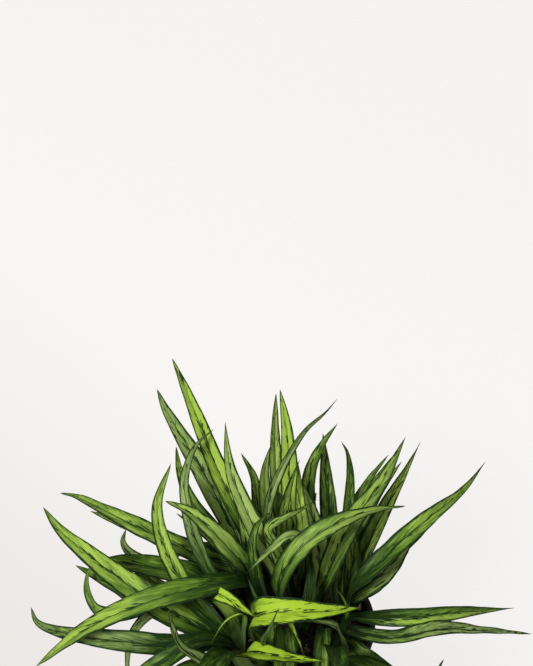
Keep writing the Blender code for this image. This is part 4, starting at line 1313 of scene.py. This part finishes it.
def make_cane(name, finish):
    top = cane_point(name, 0)
    foot = foot_of(name)
    axis = (top - foot).normalized()
    start = foot - axis * CANE_SUNK
    length = (top - start).length
    side = axis.orthogonal().normalized()
    radius = STEMS[name].radius * MM

    def scar_at(i):
        turn = 2 * math.pi * i * length / CANE_RINGS / SCAR_SPACING
        return math.exp(-SCAR_SHARPNESS * (1 - math.cos(turn)))

    def place(i, j):
        share = i / CANE_RINGS
        centre = start + axis * length * share
        if i in (0, CANE_RINGS):
            return centre
        taper = 1 - (1 - CANE_TIP) * smooth_step((share - TIP_START) / TIP_REACH)
        reach = radius * taper * (1 + SCAR_SWELL * scar_at(i))
        return centre + Matrix.Rotation(2 * math.pi * j / CANE_AROUND, 3, axis) @ side * reach

    vectors = {"cane_place": lambda i, j: Vector((i / CANE_RINGS, scar_at(i), 0))}
    shape = wrapped_grid(CANE_RINGS, CANE_AROUND, place, vectors)
    return finish_piece("cane_" + name, shape, finish, ["stem_" + name])


cane_bark = cane_finish()
canes = [make_cane(name, cane_bark) for name in STEMS]
print(len(canes), "canes")

# %% [markdown]
# The pot
#
# It is a common moulded nursery pot: a thin tapered wall, a collar, a rolled lip, and drain holes in the
# floor. Its section is a line of a few corners. We round the corners with a bevel, turn the line about the
# axis with spin, and cut the holes with a Boolean, as the mould's pins do.

# %% Make the pot's shape
RIM_RADIUS = 77.5 * MM
BASE_RADIUS = 54 * MM
WALL = 1.8 * MM
FLOOR = 2.6 * MM
COLLAR_HEIGHT = 16 * MM
COLLAR_STEP = 2.2 * MM
LIP = 1.6 * MM
LIP_HEIGHT = 2.6 * MM
FOOT_BEVEL = 2.5 * MM
ROUNDING = 0.9 * MM
POT_STEPS = 144
DRAIN_HOLES = 8
DRAIN_RADIUS = 4.5 * MM
DRAIN_CIRCLE = 40 * MM


def outer_radius(height):
    """The radius of the pot's tapered wall, outside."""
    taper = (RIM_RADIUS - COLLAR_STEP - BASE_RADIUS) / (RIM_HEIGHT - COLLAR_HEIGHT)
    return min(BASE_RADIUS + taper * height, RIM_RADIUS - COLLAR_STEP)


def inner_radius(height):
    return outer_radius(height) - WALL


def pot_section():
    """(radius, height) from the floor's middle up the inside, over the lip and down the outside."""
    collar = RIM_HEIGHT - COLLAR_HEIGHT
    lip_under = RIM_HEIGHT - LIP_HEIGHT
    return [
        (0, FLOOR),
        (inner_radius(FLOOR), FLOOR),
        (inner_radius(collar), collar),
        (inner_radius(RIM_HEIGHT), RIM_HEIGHT),
        (RIM_RADIUS + LIP, RIM_HEIGHT),
        (RIM_RADIUS + LIP, lip_under),
        (RIM_RADIUS, lip_under - LIP / 2),
        (RIM_RADIUS - ROUNDING, collar),
        (outer_radius(collar), collar - ROUNDING),
        (BASE_RADIUS, FOOT_BEVEL),
        (BASE_RADIUS - FOOT_BEVEL, 0),
        (0, 0),
    ]


def turned_shape(section, steps):
    """A closed shape turned from a section whose two ends lie on the axis."""
    shape = bmesh.new()
    corners = [shape.verts.new((radius, 0, height)) for radius, height in section]
    for pair in zip(corners, corners[1:]):
        shape.edges.new(pair)
    bmesh.ops.bevel(
        shape, geom=corners[1:-1], offset=ROUNDING, offset_type="OFFSET", affect="VERTICES",
        segments=3, profile=0.5, material=-1,
    )
    geometry = [*shape.verts, *shape.edges]
    bmesh.ops.spin(
        shape, geom=geometry, cent=(0, 0, 0), axis=(0, 0, 1), angle=2 * math.pi, steps=steps, use_merge=True
    )
    bmesh.ops.remove_doubles(shape, verts=shape.verts, dist=MERGE)
    bmesh.ops.recalc_face_normals(shape, faces=shape.faces)
    return shape


def drain_pins():
    """A ring of upright pins through the pot's floor."""
    pins = bmesh.new()
    for k in range(DRAIN_HOLES):
        angle = 2 * math.pi * (k + 0.5) / DRAIN_HOLES
        place = Vector((DRAIN_CIRCLE * math.cos(angle), DRAIN_CIRCLE * math.sin(angle), FLOOR / 2))
        bmesh.ops.create_cone(
            pins, cap_ends=True, segments=32, radius1=DRAIN_RADIUS, radius2=DRAIN_RADIUS,
            depth=4 * FLOOR, matrix=Matrix.Translation(place),
        )
    return pins


def cut_away(shape, cutter):
    """The pot's shape without what the pins take out of it."""
    helpers = []
    for name, made in (("pot_blank", shape), ("drain_pins", cutter)):
        mesh = bpy.data.meshes.new(name)
        made.to_mesh(mesh)
        made.free()
        helpers.append(bpy.data.objects.new(name, mesh))
        bpy.context.scene.collection.objects.link(helpers[-1])
    cut = helpers[0].modifiers.new("cut", "BOOLEAN")
    cut.operation = "DIFFERENCE"
    cut.object = helpers[1]
    graph = bpy.context.evaluated_depsgraph_get()
    result = bmesh.new()
    result.from_mesh(helpers[0].evaluated_get(graph).to_mesh())
    for helper in helpers:
        bpy.data.objects.remove(helper)
    return result


pot_shape = cut_away(turned_shape(pot_section(), POT_STEPS), drain_pins())
print("the pot has", len(pot_shape.faces), "faces")

# %% [markdown]
# The pot's finish
#
# Black plastic is never quite black. It has a fine moulded grain, a film of dust that gathers under the lip
# and near the foot, and paler scuffs where it has rubbed against others. Dust is a mask made from noise and
# from the height up the wall, and the scuffs are one made from drawn-out noise.

# %% Finish the pot
POT_BLACK = (0.013, 0.013, 0.0145)
POT_GREY = (0.032, 0.032, 0.035)
DUST = (0.13, 0.105, 0.08)
GRAIN_SCALE = 1400.0
GRAIN_BUMP = (0.12 * MM, 0.5)
# Dust: where it lies under the lip and near the foot, how thick there and elsewhere, and its clouds
LIP_DUST_ZONE = (RIM_HEIGHT - 9 * MM, RIM_HEIGHT - 2 * MM)
LIP_DUST = 0.22
FOOT_DUST_ZONE = (16 * MM, 0.0)
FOOT_DUST = 0.3
FILM_DUST = 0.10
DUST_CLOUDS = 28.0
DUST_BAND = (0.4, 0.75)
SCUFF_STRETCH = (60, 60, 7)
SCUFF_BAND = (0.60, 0.72)
SCUFF_SHARE = 0.6
CLEAN_ROUGHNESS = 0.40
DUSTY_ROUGHNESS = 0.85
SCUFF_ROUGHNESS = 0.14


def pot_finish():
    finish, shader, wires = new_material("pot_plastic", POT_BLACK, roughness=0.45)
    place = wires.objects()
    grain = wires.noise(place, scale=GRAIN_SCALE)
    cloud = wires.noise(place, scale=DUST_CLOUDS, detail=4.0)
    height = wires.split(place)[2]
    lip_dust = wires.times(wires.step(height, *LIP_DUST_ZONE), LIP_DUST)
    foot_dust = wires.times(wires.step(height, *FOOT_DUST_ZONE), FOOT_DUST)
    dusty = wires.plus(wires.plus(lip_dust, foot_dust), FILM_DUST)
    dusty = wires.times(dusty, wires.step(cloud, *DUST_BAND))
    scuffs = wires.noise(wires.stretch(place, SCUFF_STRETCH), detail=5.0, roughness=0.7)
    scuffs = wires.step(scuffs, *SCUFF_BAND)
    plastic = wires.paint(wires.times(scuffs, SCUFF_SHARE), POT_BLACK, POT_GREY)
    colour = wires.paint(dusty, plastic, DUST)
    gloss = wires.blend(dusty, CLEAN_ROUGHNESS, DUSTY_ROUGHNESS)
    gloss = wires.plus(gloss, wires.times(scuffs, SCUFF_ROUGHNESS))
    join(wires, shader, Base_Color=colour, Roughness=gloss, Normal=wires.bump(grain, *GRAIN_BUMP))
    return finish


finish_piece("nursery_pot", pot_shape, pot_finish(), ["pot"])
print("pot finished")

# %% [markdown]
# The potting mix
#
# The mix fills the pot to a finger's width below the rim. Its top is a low heap broken by crumbs, so a
# wrapped grid takes the heap's section and a fractal noise lifts and drops its top. The same height formula
# then tells each loose crumb where to lie.

# %% Make the mix
GAP = 0.3 * MM
# How high the mix heaps in the middle, and how far it falls at the wall
MIX_SWELL = 3 * MM
MIX_SHOULDER = 3 * MM
SHOULDER_START = 0.93
SHOULDER_REACH = 0.07
# How rough its top is, how fine that roughness is, and where it calms towards the wall
MIX_ROUGH = 1.5 * MM
ROUGH_PER_METRE = 150
ROUGH_FRACTAL = (1.0, 2.1, 4)
CALM_START = 0.9
CALM_REACH = 0.1
MIX_RINGS = 34
MIX_AROUND = 120
RING_CROWDING = 0.8
MIX_RADIUS = inner_radius(SOIL_TOP) - GAP
# The mix's near-black is partly its own colour and partly a painted shade
MIX_BLACK_AND_SHADE = (0.0045, 0.0035, 0.0030)
MIX_BROWN = (0.018, 0.012, 0.008)
MIX_SCALE = 420.0
MIX_BAND = (0.42, 0.72)
MIX_BUMP = (1.2 * MM, 0.9)


def mix_height(x, y):
    """The height of the mix's top at a place."""
    share = math.hypot(x, y) / MIX_RADIUS
    rough = noise.fractal(Vector((x, y, 0)) * ROUGH_PER_METRE, *ROUGH_FRACTAL) * MIX_ROUGH
    rough *= 1 - smooth_step((share - CALM_START) / CALM_REACH)
    fall = MIX_SHOULDER * smooth_step((share - SHOULDER_START) / SHOULDER_REACH)
    return SOIL_TOP + MIX_SWELL * (1 - min(share, 1) ** 2) - fall + rough


def mix_section(i):
    """(radius, height or none on the top) of ring i, from the top's middle to the bottom's."""
    bottom = FLOOR + GAP
    ends = [(inner_radius(bottom) - GAP, bottom), (0, bottom)]
    if i <= MIX_RINGS:
        return MIX_RADIUS * (i / MIX_RINGS) ** RING_CROWDING, None
    return ends[i - MIX_RINGS - 1]


def mix_point(i, j):
    radius, height = mix_section(i)
    angle = 2 * math.pi * j / MIX_AROUND
    x = radius * math.cos(angle)
    y = radius * math.sin(angle)
    return Vector((x, y, mix_height(x, y) if height is None else height))


def mix_finish():
    finish, shader, wires = new_material("potting_mix", MIX_BLACK_AND_SHADE, roughness=0.95)
    lumps = wires.noise(wires.objects(), scale=MIX_SCALE, detail=5.0, roughness=0.65)
    colour = wires.paint(wires.step(lumps, *MIX_BAND), MIX_BLACK_AND_SHADE, MIX_BROWN)
    join(wires, shader, Base_Color=colour, Normal=wires.bump(lumps, *MIX_BUMP))
    return finish


mix_shape = wrapped_grid(MIX_RINGS + 2, MIX_AROUND, mix_point)
finish_piece("potting_mix", mix_shape, mix_finish(), ["soil"])
print("the mix's top is", round((mix_height(0, 0) - SOIL_TOP) / MM, 1), "mm above its edge in the middle")

# %% [markdown]
# Crumbs, bark and perlite
#
# The mix is peat with chips of bark, a few of them pale, and white perlite. Each lump carries its own shade.
# The four kinds share one effect, so it is a node group: the shade and a fine noise pick a colour between
# the kind's darkest and palest, and the same noise gives the lump its grain.

# %% Finish the lumps
LUMP_NOISE = 1500.0
SHADE_WEIGHT = 0.75
NOISE_WEIGHT = 0.35
LUMP_BUMP = (0.25 * MM, 0.8)


def lump_colours():
    """A group: a lump's colour between a dark and a pale one, and the height of its fine grain."""
    inputs = {"Dark": "Color", "Pale": "Color"}
    group, wires, given = new_group("lump_colours", inputs, {"Colour": "Color", "Grain": "Float"})
    fine = wires.noise(wires.objects(), scale=LUMP_NOISE, detail=4.0)
    shade = wires.attribute("grain_shade")[0]
    tint = wires.plus(wires.times(shade, SHADE_WEIGHT), wires.times(fine, NOISE_WEIGHT))
    colour = wires.paint(tint, given["Dark"], given["Pale"])
    wires.node("NodeGroupOutput", {"Colour": colour, "Grain": fine})
    return group


def grain_finish(name, dark, pale):
    finish, shader, wires = new_material(name, pale, roughness=0.9)
    inputs = {"Dark": opaque(dark), "Pale": opaque(pale)}
    lump = wires.node("ShaderNodeGroup", inputs, node_tree=lump_tints).outputs
    join(wires, shader, Base_Color=lump["Colour"], Normal=wires.bump(lump["Grain"], *LUMP_BUMP))
    return finish


lump_tints = lump_colours()
print("lump colours:", len(lump_tints.nodes), "nodes")

# %% [markdown]
# Scatter the lumps
#
# A lump is a small ball, pushed out of shape by noise, stretched and turned. Its place is drawn at random
# with a fixed seed, so it is the same on each run, and it lies on the mix, clear of the pot's wall. All the
# lumps of one kind are one piece. Pale chips also lie where the photograph shows pale specks, the first of
# them on a small heap beside the wall.

# %% Scatter crumbs, bark and perlite
Grain = namedtuple("Grain", "count least most stretch detail dark pale")
# How many lumps, the least and the greatest size in mm, the stretch, and the darkest and the palest colour
GRAINS = {
    "peat_crumbs": Grain(1500, 0.5, 1.9, (1, 1, 0.8), 1, (0.004, 0.003, 0.0027), (0.026, 0.017, 0.011)),
    "bark_chips": Grain(90, 1.2, 3.2, (1.5, 0.8, 0.35), 2, (0.022, 0.012, 0.007), (0.20, 0.13, 0.065)),
    "pale_chips": Grain(14, 1.0, 2.2, (1.5, 0.8, 0.5), 2, (0.20, 0.13, 0.07), (0.86, 0.68, 0.45)),
    "perlite_grains": Grain(40, 0.6, 1.2, (1, 1, 0.9), 2, (0.30, 0.26, 0.20), (0.60, 0.56, 0.49)),
}
GRAIN_SEED = 11
# Each pale speck's pixel, and how far below the rim it lies
SPECKS = [(361.5, 604.5, 6 * MM), (352, 613, MIX_BELOW_RIM), (335, 663, MIX_BELOW_RIM)]
SPECK_SIZE = 2.0 * MM
HEAP_STEP = 1.6 * MM
# How rough a lump is, how knobbly, how much larger that makes it at most, how far it tilts in radians, and
# how much of its half height it stands above the mix
LUMP_ROUGH = 0.45
LUMP_KNOBS = 1.3
LUMP_SWELL = 1.25
LUMP_TILT = 0.5
LUMP_LIFT = 0.3
NOISE_SPAN = 100


def add_grain(shape, layer, kind, place, size, shade, draw):
    """One lump: a small ball, stretched, turned and roughened."""
    turn = Matrix.Rotation(draw.uniform(0, 2 * math.pi), 4, "Z")
    turn @= Matrix.Rotation(draw.uniform(-LUMP_TILT, LUMP_TILT), 4, "X")
    lump = bmesh.ops.create_icosphere(shape, subdivisions=kind.detail, radius=1)["verts"]
    salt = Vector((draw.uniform(0, NOISE_SPAN), 0, 0))
    for vertex in lump:
        vertex.co *= 1 + LUMP_ROUGH * noise.noise(vertex.co * LUMP_KNOBS + salt)
        vertex[layer] = Vector((shade, 0, 0))
    stretch = Matrix.Diagonal((*kind.stretch, 1))
    turn = Matrix.Translation(place) @ turn
    bmesh.ops.transform(shape, verts=lump, matrix=turn @ stretch @ Matrix.Scale(size, 4))


def room_for(kind, size):
    """How far a lump's middle stays off the pot's wall."""
    return size * max(kind.stretch) * LUMP_SWELL


def seen_below_rim(column, row, depth):
    """The place that is seen at a pixel, at a depth below the rim."""
    ray = sight_ray(column, row)
    return VIEWER + ray * (RIM_HEIGHT - depth - VIEWER.z) / ray.z


def heap_up(shape, layer, kind, speck, draw):
    """Chips from the place where a pale speck is seen down to the mix."""
    place = seen_below_rim(*speck)
    inside = (MIX_RADIUS - room_for(kind, SPECK_SIZE)) / math.hypot(place.x, place.y)
    place.xy *= min(1, inside)
    lowest = mix_height(place.x, place.y) + MM
    place.z = max(place.z, lowest)
    while place.z >= lowest:
        add_grain(shape, layer, kind, place, SPECK_SIZE, 1.0, draw)
        place.z -= HEAP_STEP


def scatter(name, kind, draw):
    shape = bmesh.new()
    layer = shape.verts.layers.float_vector.new("grain_shade")
    for _ in range(kind.count):
        angle = draw.uniform(0, 2 * math.pi)
        reach = (MIX_RADIUS - room_for(kind, kind.most * MM)) * math.sqrt(draw.random())
        size = draw.uniform(kind.least, kind.most) * MM
        x = reach * math.cos(angle)
        y = reach * math.sin(angle)
        place = Vector((x, y, mix_height(x, y) + size * kind.stretch[2] * LUMP_LIFT))
        add_grain(shape, layer, kind, place, size, draw.random(), draw)
    if name == "pale_chips":
        for speck in SPECKS:
            heap_up(shape, layer, kind, speck, draw)
    bmesh.ops.recalc_face_normals(shape, faces=shape.faces)
    return finish_piece(name, shape, grain_finish(name, kind.dark, kind.pale))


grain_draw = random.Random(GRAIN_SEED)
grains = [scatter(name, kind, grain_draw) for name, kind in GRAINS.items()]
print("grains:", sum(len(piece.data.polygons) for piece in grains), "faces")
